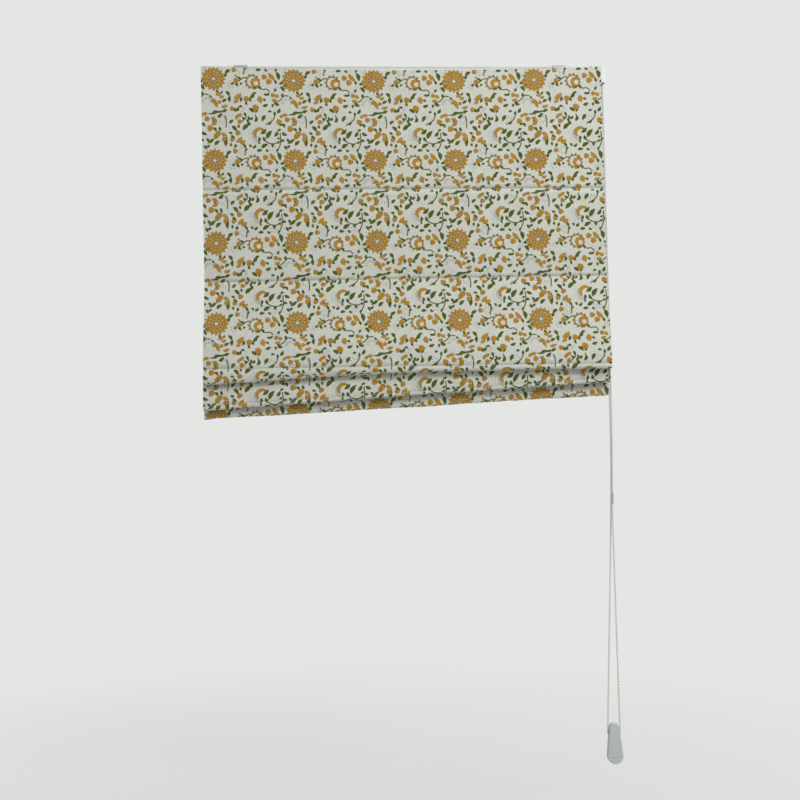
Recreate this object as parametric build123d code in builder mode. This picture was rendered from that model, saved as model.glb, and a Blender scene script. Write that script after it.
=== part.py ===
from build123d import *
import os
from math import cos, floor, pi, radians, sin, sqrt, tan

# Roman blind, half raised, as it hangs in its window.
# X runs along the headrail, -Y looks into the room, +Z is up.
# The origin is the centre of the four fixing holes, on the plane the brackets are screwed up against.
# All sizes are in millimetres.

os.makedirs("parts", exist_ok=True)

# Fits
slide_fit = 0.2  # plastic plugs, hooks and caps that are pushed in by hand
running_fit = 0.05  # radial clearance of everything that turns
soft_fit = 0.3  # cloth to whatever it wraps

# Width of the blind, and where the cloth hangs from the middle of the brackets
cloth_width = 878.5
cloth_offset = 1.75

# Headrail, an aluminium extrusion that is open underneath; the cloth covers it and laps over its ends
cloth_lap_left = 3.5
cloth_lap_right = 23
rail_depth = 42
rail_height = 36
rail_wall = 1.6
rail_slot = 26
channel_width = 24
channel_depth = 5
corner_width = 4
corner_height = 9
groove_depth = 2
groove_height = 1.7
groove_drop = 3.3

# Clip brackets
bracket_plate = 1.5
bracket_width = 30
bracket_inset = 76
bracket_hole_radius = 2.25
bracket_hole_spacing = 14

# Drive shaft, drums and cradles
shaft_size = 5
shaft_bore = shaft_size + running_fit * 2
drum_radius = 9
drum_flange_radius = 11.5
drum_flange = 1.5
drum_length = 28
journal_radius = 6
journal_length = 3.4
cradle_wall = 2.5
cradle_base = 2
cradle_end_play = 0.5
cradle_collar = 2.6
cord_radius = 0.7
cord_turns_width = 19
cord_hole_radius = 2
station_inset = 20

# Plugs, end bush and chain control
plug_length = 12
control_plug_length = 20
flange_thickness = 3
bush_radius = 5
bush_length = 9
hub_radius = 7
hub_bore_radius = 4.2
hub_reach = 14
spring_wire = 1.4
spring_turns = 6
wheel_cup_radius = 9.2
wheel_sleeve_radius = 11.2
wheel_rim_radius = 15.2
wheel_width = 8
cover_wall = 1.6
cover_end_gap = 1

# Bead chain
bead_pitch = 6
bead_radius = 2.7
neck_radius = 0.95
wheel_pockets = 14
wheel_pitch_radius = wheel_pockets * bead_pitch / (2 * pi)
pocket_clearance = 0.3
connector_length = 24
connector_wall = 0.6
wheel_reach = 24
post_swing = 21.3  # how far the chain's foot hangs to the right of the wheel
post_z = -1454
touch_swing = 18.9  # the same where the two strands touch
touch_top_z = -760
touch_bottom_z = -985
connector_z = -950

# Chain weight
weight_top_radius = 10.8
weight_bottom_radius = 17.5
weight_centres = 61
weight_shoulder = 4.8
weight_half_thickness = 7
weight_wall = 1.6
weight_edge = 3
weight_tilt = 2.5
channel_clearance = 0.4
slug_drop = 20
screw_radius = 1.2
screw_head_radius = 2.8
screw_head_height = 1.8
screw_length = 11
thumb_line_drop = 57
thumb_line_width = 24
thumb_line_sag = 1.3
thumb_line_depth = 0.6

# Cloth: one sheet with a sewn rod pocket at each of six lines and a hem at its foot
cloth = 1.0
cloth_skew = 1.28
stack_shift_left = 12.1
stack_shift_right = 14.5
cloth_top = -4
top_sag = 8
top_panel = 270
panel = 197
flap = 212
front_reach = 38
rear_reach = 23
gather = 53
ring_stack = 16
line_rise = {1: 5.2, 2: 15.8, 3: 12.9, 4: 62, 5: 62, 6: 62, "hem": 52.5}
roll_left = 34
roll_right = 10

# Rods, rings, strips and bottom bar
rod_radius = 2
rod_inset = 8
ring_radius = 5.5
ring_wire = 1.1
strip_height = 20
strip_thickness = 1.2
strip_drop = 12.5
strip_inset = 2
bar_height = 25
bar_thickness = 2.5
bar_inset = 12
cap_wall = 0.6
cap_length = 14
cap_edge = 1
stop_radius = 5
stop_length = 12

# Heights and places that follow from those sizes
cloth_left = cloth_offset - cloth_width / 2
stack_left = cloth_left + stack_shift_left
stack_right = cloth_left + cloth_width + stack_shift_right
rail_left = cloth_left + cloth_lap_left
rail_length = cloth_width - cloth_lap_left - cloth_lap_right
rail_right = rail_left + rail_length
bracket_spacing = rail_length - 2 * bracket_inset
station_spacing = bracket_spacing / 2 - station_inset
stations = {"left": -station_spacing, "centre": 0, "right": station_spacing}
chain_plane_x = rail_right + flange_thickness + wheel_reach
rail_top = -bracket_plate
rail_bottom = rail_top - rail_height
cavity_floor = rail_bottom + rail_wall
cavity_roof = rail_top - channel_depth - rail_wall
axis_z = (cavity_roof + cavity_floor + cradle_base) / 2
cord_y = -(drum_radius + cord_radius)
pocket_bore = rod_radius + soft_fit
pocket_outer = pocket_bore + cloth
pocket_middle = pocket_bore + cloth / 2
rod_back_y = cord_y - ring_radius - ring_wire - soft_fit - pocket_outer
rod_front_y = rod_back_y - front_reach
rod_rear_y = rod_back_y - rear_reach
strip_front = -rail_depth / 2 - 2 * strip_thickness
cloth_back_y = strip_front - soft_fit
cloth_y = cloth_back_y - cloth / 2
hem_height = bar_height + 2 * (cap_wall + cloth) + 4 * soft_fit
hem_depth = bar_thickness + 2 * (cap_wall + cloth) + 4 * soft_fit / 2
hem_y = cloth_y - 3

line_mean = {1: cloth_top - top_panel}
line_mean[2] = line_mean[1] - panel
line_mean[3] = line_mean[2] - sqrt(panel**2 - front_reach**2)
line_mean[4] = line_mean[2] - gather
line_mean[5] = line_mean[4] - sqrt(panel**2 - rear_reach**2)
line_mean[6] = line_mean[4] - ring_stack
line_mean["hem"] = line_mean[6] - flap
line_y = {
    1: rod_back_y,
    2: rod_back_y,
    3: rod_front_y,
    4: rod_back_y,
    5: rod_rear_y,
    6: rod_back_y,
    "hem": hem_y,
}


def line_z(line, side):
    """Height of a rod line at the cloth's left edge (side 0) or right edge (side 1)."""
    return line_mean[line] + (side - 0.5) * line_rise[line]


def edge_x(line, side):
    """Where the cloth's edge crosses a rod line."""
    if line in (1, 2, 3):
        skewed = cloth_left - line_mean[line] * tan(radians(cloth_skew))
        return skewed + side * cloth_width
    return stack_right if side else stack_left


def line_point(line, x):
    """Point of a rod line above or below a given X."""
    left, right = edge_x(line, 0), edge_x(line, 1)
    share = (x - left) / (right - left)
    return Vector(x, line_y[line], line_z(line, 0) + share * line_rise[line])


def line_plane(line, inset):
    """Plane square to a rod line, a little way in from the cloth's left edge; its x is Y, its y is up."""
    start = line_point(line, edge_x(line, 0) + inset)
    end = line_point(line, edge_x(line, 1) - inset)
    return Plane(origin=start, x_dir=(0, 1, 0), z_dir=end - start)


def line_length(line, inset):
    """Length along a rod line between two points set in from the cloth's edges."""
    start = line_point(line, edge_x(line, 0) + inset)
    end = line_point(line, edge_x(line, 1) - inset)
    return (end - start).length


along_x = {
    "rotation": (0, 90, 0),
    "align": (Align.CENTER, Align.CENTER, Align.MIN),
}
block_along_x = (Align.MIN, Align.CENTER, Align.CENTER)

# Headrail
with BuildPart() as headrail:
    with BuildSketch(Plane.YZ.offset(rail_left)):
        with Locations((0, rail_top - rail_height / 2)):
            Rectangle(rail_depth, rail_height)
            Rectangle(rail_depth - 2 * rail_wall, rail_height - 2 * rail_wall, mode=Mode.SUBTRACT)
        with Locations((0, rail_top - (channel_depth + rail_wall) / 2)):
            Rectangle(channel_width + 2 * rail_wall, channel_depth + rail_wall)
        with Locations((0, rail_top - channel_depth / 2)):
            Rectangle(channel_width, channel_depth, mode=Mode.SUBTRACT)
        with Locations((0, rail_bottom + rail_wall / 2)):
            Rectangle(rail_slot, rail_wall, mode=Mode.SUBTRACT)
        corner_y = (rail_depth - corner_width) / 2
        with Locations(
            (-corner_y, rail_top - corner_height / 2),
            (corner_y, rail_top - corner_height / 2),
        ):
            Rectangle(corner_width, corner_height)
        groove_y = (rail_depth - groove_depth) / 2
        groove_z = rail_top - groove_drop - groove_height / 2
        with Locations((-groove_y, groove_z), (groove_y, groove_z)):
            Rectangle(groove_depth, groove_height, mode=Mode.SUBTRACT)
    extrude(amount=rail_length)
headrail.part.label = "headrail"
export_step(headrail.part, "parts/headrail.step")

# Clip brackets, bent from sheet: a plate over the rail and two hooked legs that snap into its grooves
leg_outer = rail_depth / 2 + slide_fit + bracket_plate
hook_top = rail_top - groove_drop - slide_fit
hook_height = groove_height - 2 * slide_fit
hook_reach = leg_outer - (rail_depth / 2 - groove_depth + slide_fit)
for name, bracket_x in (("left", -bracket_spacing / 2), ("right", bracket_spacing / 2)):
    with BuildPart() as bracket:
        with BuildSketch(Plane.YZ.offset(bracket_x - bracket_width / 2)):
            with Locations((0, -bracket_plate / 2)):
                Rectangle(2 * leg_outer, bracket_plate)
            leg_height = hook_height - hook_top
            leg_y = leg_outer - bracket_plate / 2
            with Locations((-leg_y, -leg_height / 2), (leg_y, -leg_height / 2)):
                Rectangle(bracket_plate, leg_height)
            hook_y = leg_outer - hook_reach / 2
            hook_z = hook_top - hook_height / 2
            with Locations((-hook_y, hook_z), (hook_y, hook_z)):
                Rectangle(hook_reach, hook_height)
        extrude(amount=bracket_width)
        with Locations(Plane.XY):
            with Locations((bracket_x, 0)):
                with GridLocations(0, bracket_hole_spacing, 1, 2):
                    Hole(bracket_hole_radius, depth=bracket_plate)
    bracket.part.label = f"bracket_{name}"
    export_step(bracket.part, f"parts/bracket_{name}.step")

# Left end cap: a flange and a plug, bored for the shaft's end bush
plug_depth = rail_depth - 2 * rail_wall - 2 * slide_fit
plug_bottom = cavity_floor + slide_fit
plug_top = rail_top - corner_height - slide_fit
plug_height = plug_top - plug_bottom
plug_z = (plug_top + plug_bottom) / 2
with BuildPart() as end_cap:
    with Locations((rail_left - flange_thickness, 0, rail_top - rail_height / 2)):
        Box(flange_thickness, rail_depth, rail_height, align=block_along_x)
    with Locations((rail_left, 0, plug_z)):
        Box(plug_length, plug_depth, plug_height, align=block_along_x)
    with Locations((rail_left, 0, axis_z)):
        Cylinder(bush_radius + running_fit, plug_length, mode=Mode.SUBTRACT, **along_x)
    fillet(end_cap.edges().filter_by(Axis.X).group_by(Axis.X)[0], radius=1.5)
end_cap.part.label = "rail_end_cap"
export_step(end_cap.part, "parts/rail_end_cap.step")

# End bush, pushed on the shaft and turning in the end cap
bush_x = rail_left + 1
with BuildPart() as end_bush:
    with Locations((bush_x, 0, axis_z)):
        Cylinder(bush_radius, bush_length, **along_x)
        Box(bush_length, shaft_bore, shaft_bore, align=block_along_x, mode=Mode.SUBTRACT)
end_bush.part.label = "shaft_end_bush"
export_step(end_bush.part, "parts/shaft_end_bush.step")

# Control housing: plug, flange and the seat of the clutch hub
with BuildPart() as housing:
    with Locations((rail_right, 0, rail_top - rail_height / 2)):
        Box(flange_thickness, rail_depth, rail_height, align=block_along_x)
    with Locations((rail_right - control_plug_length, 0, plug_z)):
        Box(control_plug_length, plug_depth, plug_height, align=block_along_x)
    housing_length = control_plug_length + flange_thickness
    with Locations((rail_right - control_plug_length, 0, axis_z)):
        Cylinder(hub_radius, housing_length, mode=Mode.SUBTRACT, **along_x)
housing.part.label = "control_housing"
export_step(housing.part, "parts/control_housing.step")

# Clutch hub: the fixed tube that the wrap spring grips
hub_end = rail_right + flange_thickness + hub_reach
hub_length = control_plug_length + flange_thickness + hub_reach
with BuildPart() as clutch_hub:
    with Locations((rail_right - control_plug_length, 0, axis_z)):
        Cylinder(hub_radius, hub_length, **along_x)
        Cylinder(hub_bore_radius, hub_length, mode=Mode.SUBTRACT, **along_x)
clutch_hub.part.label = "clutch_hub"
export_step(clutch_hub.part, "parts/clutch_hub.step")

# Wrap spring, close wound, so its turns touch
spring_left = rail_right + flange_thickness + 1
spring_bore = hub_radius + running_fit
with BuildPart() as clutch_spring:
    for turn in range(spring_turns):
        with Locations((spring_left + (turn + 0.5) * spring_wire, 0, axis_z)):
            Torus(spring_bore + spring_wire / 2, spring_wire / 2, rotation=(0, 90, 0))
    with Locations((spring_left + spring_wire / 2, 0, axis_z)):
        Cylinder(spring_bore + spring_wire * 0.75, (spring_turns - 1) * spring_wire, **along_x)
        Cylinder(
            spring_bore + spring_wire * 0.25,
            (spring_turns - 1) * spring_wire,
            mode=Mode.SUBTRACT,
            **along_x,
        )
clutch_spring.part.label = "clutch_spring"
export_step(clutch_spring.part, "parts/clutch_spring.step")

# Route of the bead chain: round the post of the weight, up the left strand, over the wheel, down the right
post = Vector(chain_plane_x + post_swing, -8, post_z)
touch = Vector(chain_plane_x + touch_swing, -8)
to_strand = Vector(0.7, -3.3)
left_strand = touch - to_strand
right_strand = touch + to_strand
wheel_back = Vector(chain_plane_x, wheel_pitch_radius, axis_z)
wheel_front = Vector(chain_plane_x, -wheel_pitch_radius, axis_z)
wheel_top = Vector(chain_plane_x, 0, axis_z + wheel_pitch_radius)
post_right = post + Vector(wheel_pitch_radius, 0, 0)
post_left = post - Vector(wheel_pitch_radius, 0, 0)
post_foot = post - Vector(0, 0, wheel_pitch_radius)
connector = right_strand + Vector(0, 0, connector_z)
down_points = [connector, right_strand + Vector(0, 0, touch_bottom_z), post_right]
up_points = [
    post_left,
    left_strand + Vector(0, 0, touch_bottom_z),
    left_strand + Vector(0, 0, touch_top_z),
    wheel_back,
]
return_points = [wheel_front, right_strand + Vector(0, 0, touch_top_z), connector]


def bend_radii(points):
    """The largest tangent arc at each corner: 0.45 of its shorter run over the tangent of half its turn."""
    radii = []
    for before, corner, after in zip(points, points[1:], points[2:]):
        shorter = min((corner - before).length, (after - corner).length)
        turn = (corner - before).get_angle(after - corner)
        radii.append(0.45 * shorter / tan(radians(turn / 2)))
    print("bead chain bend radii, mm:", [round(r) for r in radii])
    return radii


with BuildLine() as strand_down:
    FilletPolyline(*down_points, radius=bend_radii(down_points))
with BuildLine() as round_post:
    ThreePointArc(post_right, post_foot, post_left)
with BuildLine() as strand_up:
    FilletPolyline(*up_points, radius=bend_radii(up_points))
with BuildLine() as over_wheel:
    ThreePointArc(wheel_back, wheel_top, wheel_front)
with BuildLine() as strand_return:
    FilletPolyline(*return_points, radius=bend_radii(return_points))

chain_lines = (strand_down, round_post, strand_up, over_wheel, strand_return)
chain_stretches = [line.wire() for line in chain_lines]
chain_length = sum(line.length for line in chain_stretches)
bead_count = floor(chain_length / bead_pitch)
chain_start = (chain_length - bead_count * bead_pitch) / 2
print(f"bead chain: {chain_length:.1f} mm round the loop, {bead_count} beads")


def chain_plane(distance):
    """Plane square to the chain at a distance along its loop."""
    for line in chain_stretches:
        if distance <= line.length or line is chain_stretches[-1]:
            share = min(distance / line.length, 1)
            return Plane(line.position_at(share), x_dir=(1, 1, 0), z_dir=line.tangent_at(share))
        distance -= line.length


# Bead chain: four-sided beads moulded on their cord, one solid from end to end
with BuildPart() as bead_chain:
    for step in range(2 * bead_count + 1):
        radius = bead_radius if step % 2 else neck_radius
        with BuildSketch(chain_plane(chain_start + step * bead_pitch / 2)):
            Rectangle(radius * sqrt(2), radius * sqrt(2))
    loft(ruled=True)
bead_chain.part.label = "bead_chain"
export_step(bead_chain.part, "parts/bead_chain.step")

# Clear connector over the two ends of the chain
connector_bore = bead_radius + pocket_clearance / 2
with BuildPart() as chain_connector:
    with BuildSketch(Plane.XY.offset(connector_z - connector_length / 2)):
        with Locations((right_strand.X, right_strand.Y)):
            Circle(connector_bore + connector_wall)
            Circle(connector_bore, mode=Mode.SUBTRACT)
    extrude(amount=connector_length)
    chamfer(chain_connector.edges().filter_by(GeomType.CIRCLE).sort_by(SortBy.RADIUS)[2:], 0.25)
chain_connector.part.label = "chain_connector"
export_step(chain_connector.part, "parts/chain_connector.step")

# Chain wheel: a cup over the spring, a bearing on the hub, and a rim with a pocket for each bead
wheel_length = chain_plane_x + wheel_width / 2 - (spring_left - 0.4)
cup_length = spring_left + spring_turns * spring_wire + 0.6 - (spring_left - 0.4)
to_wheel = sum(line.length for line in chain_stretches[:3])
first_bead = (chain_start + bead_pitch / 2 - to_wheel) % bead_pitch
with BuildPart() as chain_wheel:
    with Locations((spring_left - 0.4, 0, axis_z)):
        Cylinder(wheel_sleeve_radius, wheel_length, **along_x)
    with Locations((chain_plane_x - wheel_width / 2, 0, axis_z)):
        Cylinder(wheel_rim_radius, wheel_width, **along_x)
    with Locations((spring_left - 0.4, 0, axis_z)):
        Cylinder(wheel_cup_radius, cup_length, mode=Mode.SUBTRACT, **along_x)
        Cylinder(
            hub_radius + running_fit,
            hub_end + 0.5 - (spring_left - 0.4),
            mode=Mode.SUBTRACT,
            **along_x,
        )
        Box(wheel_length, shaft_bore, shaft_bore, align=block_along_x, mode=Mode.SUBTRACT)
    with BuildSketch(Plane.XZ):
        groove_middle = wheel_pitch_radius + 2
        with Locations((chain_plane_x, axis_z + groove_middle)):
            Rectangle(2 * neck_radius + 1, 2 * (groove_middle - wheel_sleeve_radius))
    revolve(axis=Axis((chain_plane_x, 0, axis_z), (1, 0, 0)), mode=Mode.SUBTRACT)
    for pocket in range(wheel_pockets):
        angle = first_bead / wheel_pitch_radius + 2 * pi * pocket / wheel_pockets
        pocket_y = wheel_pitch_radius * cos(angle)
        pocket_z = axis_z + wheel_pitch_radius * sin(angle)
        with Locations((chain_plane_x, pocket_y, pocket_z)):
            Sphere(bead_radius + pocket_clearance, mode=Mode.SUBTRACT)
chain_wheel.part.label = "chain_wheel"
export_step(chain_wheel.part, "parts/chain_wheel.step")

# Control cover: a box over the wheel, open underneath for the two strands
cover_left = rail_right + flange_thickness
cover_right = chain_plane_x + wheel_width / 2 + cover_end_gap + cover_wall
with BuildPart() as cover:
    with Locations((cover_left, 0, rail_top - rail_height / 2)):
        Box(cover_right - cover_left, rail_depth, rail_height, align=block_along_x)
    fillet(cover.faces().sort_by(Axis.X)[-1].edges(), radius=1.2)
    with Locations((cover_left, 0, (rail_top - cover_wall + rail_bottom) / 2)):
        Box(
            cover_right - cover_wall - cover_left,
            rail_depth - 2 * cover_wall,
            rail_height - cover_wall,
            align=block_along_x,
            mode=Mode.SUBTRACT,
        )
cover.part.label = "control_cover"
export_step(cover.part, "parts/control_cover.step")

# Drive shaft, a square bar from the end bush to the wheel
shaft_left = bush_x + 0.5
shaft_right = chain_plane_x + wheel_width / 2 - 0.5
with BuildPart() as shaft:
    with Locations((shaft_left, 0, axis_z)):
        Box(shaft_right - shaft_left, shaft_size, shaft_size, align=block_along_x)
shaft.part.label = "drive_shaft"
export_step(shaft.part, "parts/drive_shaft.step")

# A cord drum, its cradle and its lift cord at each station
cord_start = cord_radius + cradle_end_play
flanged_length = drum_length + 2 * drum_flange
cradle_length = flanged_length + 2 * cradle_end_play + 2 * cradle_wall
cradle_depth = rail_depth - 2 * rail_wall - 2 * slide_fit
cradle_top = axis_z + journal_radius + cradle_collar
cord_sleeve_bore = drum_radius + running_fit
for name, station in stations.items():
    core_left = station - cord_start
    drum_left = core_left - drum_flange
    cradle_left = drum_left - cradle_end_play - cradle_wall

    with BuildPart() as drum:
        with Locations((drum_left - journal_length, 0, axis_z)):
            Cylinder(journal_radius, flanged_length + 2 * journal_length, **along_x)
        with Locations((drum_left, 0, axis_z)):
            Cylinder(drum_flange_radius, drum_flange, **along_x)
        with Locations((core_left, 0, axis_z)):
            Cylinder(drum_radius, drum_length, **along_x)
        with Locations((core_left + drum_length, 0, axis_z)):
            Cylinder(drum_flange_radius, drum_flange, **along_x)
        with Locations((drum_left - journal_length, 0, axis_z)):
            Box(
                flanged_length + 2 * journal_length,
                shaft_bore,
                shaft_bore,
                align=block_along_x,
                mode=Mode.SUBTRACT,
            )
    drum.part.label = f"cord_drum_{name}"
    export_step(drum.part, f"parts/cord_drum_{name}.step")

    with BuildPart() as cradle:
        with Locations((cradle_left, 0, cavity_floor + cradle_base / 2)):
            Box(cradle_length, cradle_depth, cradle_base, align=block_along_x)
        wall_height = cradle_top - cavity_floor
        wall_z = (cradle_top + cavity_floor) / 2
        wall_depth = 2 * (journal_radius + 2 * cradle_collar)
        far_wall = cradle_left + cradle_length - cradle_wall
        with Locations((cradle_left, 0, wall_z), (far_wall, 0, wall_z)):
            Box(cradle_wall, wall_depth, wall_height, align=block_along_x)
        with Locations((cradle_left, 0, axis_z)):
            Cylinder(
                journal_radius + running_fit,
                cradle_length,
                mode=Mode.SUBTRACT,
                **along_x,
            )
        with Locations((station, cord_y, cavity_floor + cradle_base)):
            Hole(cord_hole_radius, depth=cradle_base)
    cradle.part.label = f"drum_cradle_{name}"
    export_step(cradle.part, f"parts/drum_cradle_{name}.step")

    stop_top = line_point(6, station).Z - ring_wire - soft_fit
    cord_end = stop_top - stop_length * 0.7
    with BuildPart() as lift_cord:
        with Locations((station - cord_radius, 0, axis_z)):
            Cylinder(drum_radius + 2 * cord_radius, cord_turns_width, **along_x)
            Cylinder(cord_sleeve_bore, cord_turns_width, mode=Mode.SUBTRACT, **along_x)
        with Locations((station, cord_y - running_fit, cord_end)):
            Cylinder(
                cord_radius,
                axis_z - cord_end,
                align=(Align.CENTER, Align.CENTER, Align.MIN),
            )
    lift_cord.part.label = f"lift_cord_{name}"
    export_step(lift_cord.part, f"parts/lift_cord_{name}.step")

# Cord rings sewn to the back rod pockets, and the stops under the lowest rings, where the cords are knotted
upright = (Align.CENTER, Align.CENTER, Align.MAX)
for name, station in stations.items():
    for line in (2, 4, 6):
        with BuildPart() as ring:
            with Locations((station, cord_y, line_point(line, station).Z)):
                Torus(ring_radius, ring_wire)
        ring.part.label = f"cord_ring_{line}_{name}"
        export_step(ring.part, f"parts/cord_ring_{line}_{name}.step")

    with BuildPart() as cord_stop:
        with Locations((station, cord_y, line_point(6, station).Z - ring_wire - soft_fit)):
            Cone(stop_radius * 0.6, stop_radius, stop_length, align=upright)
            Cylinder(cord_radius + soft_fit, stop_length, align=upright, mode=Mode.SUBTRACT)
    cord_stop.part.label = f"cord_stop_{name}"
    export_step(cord_stop.part, f"parts/cord_stop_{name}.step")

# Rods, one in each pocket
for line in range(1, 7):
    with BuildPart() as rod:
        with BuildSketch(line_plane(line, rod_inset)):
            Circle(rod_radius)
        extrude(amount=line_length(line, rod_inset))
    rod.part.label = f"fold_rod_{line}"
    export_step(rod.part, f"parts/fold_rod_{line}.step")

# Hook strip on the rail's front and loop strip on the cloth's back
strip_z = rail_top - strip_drop - strip_height / 2
for name, strip_y in (
    ("hook_strip", -rail_depth / 2 - strip_thickness / 2),
    ("loop_strip", -rail_depth / 2 - strip_thickness * 1.5),
):
    with BuildPart() as strip:
        with Locations((rail_left + rail_length / 2, strip_y, strip_z)):
            Box(rail_length - 2 * strip_inset, strip_thickness, strip_height)
    strip.part.label = name
    export_step(strip.part, f"parts/{name}.step")

# Bottom bar with its end caps, in the hem
hem_centre = hem_height / 2
with BuildPart() as bar:
    with BuildSketch(line_plane("hem", bar_inset)):
        with Locations((0, hem_centre)):
            Rectangle(bar_thickness, bar_height)
    extrude(amount=line_length("hem", bar_inset))
bar.part.label = "bottom_bar"
export_step(bar.part, "parts/bottom_bar.step")

bar_run = line_length("hem", bar_inset)
for name, cap_start in (("left", -cap_wall), ("right", bar_run - cap_length + cap_wall)):
    with BuildPart() as bar_cap:
        with BuildSketch(line_plane("hem", bar_inset).offset(cap_start)):
            with Locations((0, hem_centre)):
                RectangleRounded(bar_thickness + 2 * cap_wall, bar_height + 2 * cap_wall, cap_edge)
        extrude(amount=cap_length)
        with BuildSketch(line_plane("hem", bar_inset)):
            with Locations((0, hem_centre)):
                Rectangle(bar_thickness, bar_height)
        extrude(amount=bar_run, mode=Mode.SUBTRACT)
    bar_cap.part.label = f"bar_cap_{name}"
    export_step(bar_cap.part, f"parts/bar_cap_{name}.step")

# Face cloth
skew = radians(cloth_skew)


def upper_plane(side):
    """Plane of the cloth's left or right edge above the stack, which leans with the cloth's skew."""
    start = (cloth_left + side * cloth_width, 0, 0)
    return Plane(origin=start, x_dir=(0, 1, 0), z_dir=(cos(skew), 0, sin(skew)))


def stack_plane(side):
    """Plane of the cloth's left or right edge in the stack."""
    return Plane.YZ.offset(stack_right if side else stack_left)


def on_pocket(line, side, angle):
    """Point in the middle of a pocket's wall, at an angle from the back towards the top."""
    height = line_z(line, side) + pocket_middle * sin(radians(angle))
    return (line_y[line] + pocket_middle * cos(radians(angle)), height)


def section(plane, centre_line):
    """Section of a panel: a spline through its centre line, cut into facets, half the cloth to each side."""
    with BuildLine():
        curve = Spline(*centre_line)
    knots = [curve.param_at_point(point) for point in centre_line]
    places = [0]
    for start, end in zip(knots, knots[1:]):
        places += [start + (end - start) * (step + 1) / facets for step in range(facets)]
    half_walls = [(curve % place).rotate(Axis.Z, 90) * cloth / 2 for place in places]
    front = [curve @ place - half_wall for place, half_wall in zip(places, half_walls)]
    back = [curve @ place + half_wall for place, half_wall in zip(places, half_walls)]
    with BuildSketch(plane) as panel_section:
        with BuildLine():
            Polyline(*front, *reversed(back), close=True)
        make_face()
    return panel_section.sketch


bulge = 2.6  # how far a panel stands in front of its pockets
lip = 0.6  # how much further it swells just above a line
facets = 4  # flat facets of the cloth between two points of a centre line


def top_to_1(side):
    z_1 = line_z(1, side)
    return [
        (cloth_y, cloth_top),
        (cloth_y, cloth_top - 34),
        (cloth_y - 0.4 * bulge, cloth_top - 0.5 * top_panel),
        (cloth_y - 0.8 * bulge, z_1 + 40),
        (cloth_y - bulge, z_1 + 14),
        (cloth_y - bulge + lip, z_1 + 5),
        on_pocket(1, side, 172),
    ]


def line_1_to_2(side):
    z_1, z_2 = line_z(1, side), line_z(2, side)
    return [
        on_pocket(1, side, 188),
        (cloth_y - 0.5 * bulge, z_1 - 5),
        (cloth_y - 0.8 * bulge, z_1 - 24),
        (cloth_y - 0.8 * bulge, (z_1 + z_2) / 2),
        (cloth_y - bulge, z_2 + 14),
        (cloth_y - bulge + lip, z_2 + 5),
        on_pocket(2, side, 172),
    ]


def line_2_to_3(side):
    z_2, z_3 = line_z(2, side), line_z(3, side)
    return [
        on_pocket(2, side, 188),
        (cloth_y - 0.5 * bulge, z_2 - 5),
        (cloth_y - bulge - 0.1 * front_reach, z_2 - 24),
        (cloth_y - bulge - 0.5 * front_reach, (z_2 + z_3) / 2),
        (cloth_y - bulge - 0.94 * front_reach, z_3 + 14),
        (cloth_y - bulge - 0.97 * front_reach + lip, z_3 + 5),
        on_pocket(3, side, 172),
    ]


def line_3_to_4(side):
    z_3, z_4 = line_z(3, side), line_z(4, side)
    roll = roll_right if side else roll_left
    y_3 = line_y[3]
    return [
        on_pocket(3, side, 188),
        (y_3 - 5.0, z_3 - 0.3 * roll),
        (y_3 - 4.0, z_3 - 0.75 * roll),
        (y_3 + 1.2, z_3 - roll),
        (y_3 + 6.2, z_3 - 0.7 * roll),
        (y_3 + 8.4, z_3 + 10),
        (line_y[4] - 0.45 * front_reach, (z_3 + z_4) / 2),
        (line_y[4] - 8.8, z_4 - 16),
        on_pocket(4, side, 195),
    ]


def line_4_to_5(side):
    z_4, z_5 = line_z(4, side), line_z(5, side)
    return [
        on_pocket(4, side, 250),
        (line_y[4] - 3.3, z_4 - 8),
        (line_y[4] - 5.0, z_4 - ring_stack - 2),
        (line_y[4] - 8.4, z_4 - 2 * ring_stack - 4),
        (line_y[4] - 0.8 * rear_reach, (z_4 + z_5) / 2),
        (line_y[5] - 4.2, z_5 + 14),
        (line_y[5] - 4.3, z_5 + 5),
        on_pocket(5, side, 172),
    ]


def line_5_to_6(side):
    z_5, z_6 = line_z(5, side), line_z(6, side)
    return [
        on_pocket(5, side, 188),
        (line_y[5] - 3.9, z_5 - 4.5),
        (line_y[5] + 0.4, z_5 - 8),
        (line_y[5] + 4.6, z_5 - 4),
        (line_y[5] + 5.4, z_5 + 8),
        (line_y[6] - 0.55 * rear_reach, (z_5 + z_6) / 2),
        (line_y[6] - 5.4, z_6 - 18),
        on_pocket(6, side, 195),
    ]


def line_6_to_hem(side):
    z_6, z_hem = line_z(6, side), line_z("hem", side)
    return [
        on_pocket(6, side, 250),
        (line_y[6] - 1.9, z_6 - 10),
        (line_y[6] - 2.8, z_6 - 30),
        ((line_y[6] + hem_y) / 2 - 2, (z_6 + z_hem + hem_height) / 2),
        (hem_y, z_hem + hem_height + 20),
        (hem_y, z_hem + hem_height - cloth / 2),
    ]


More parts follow.
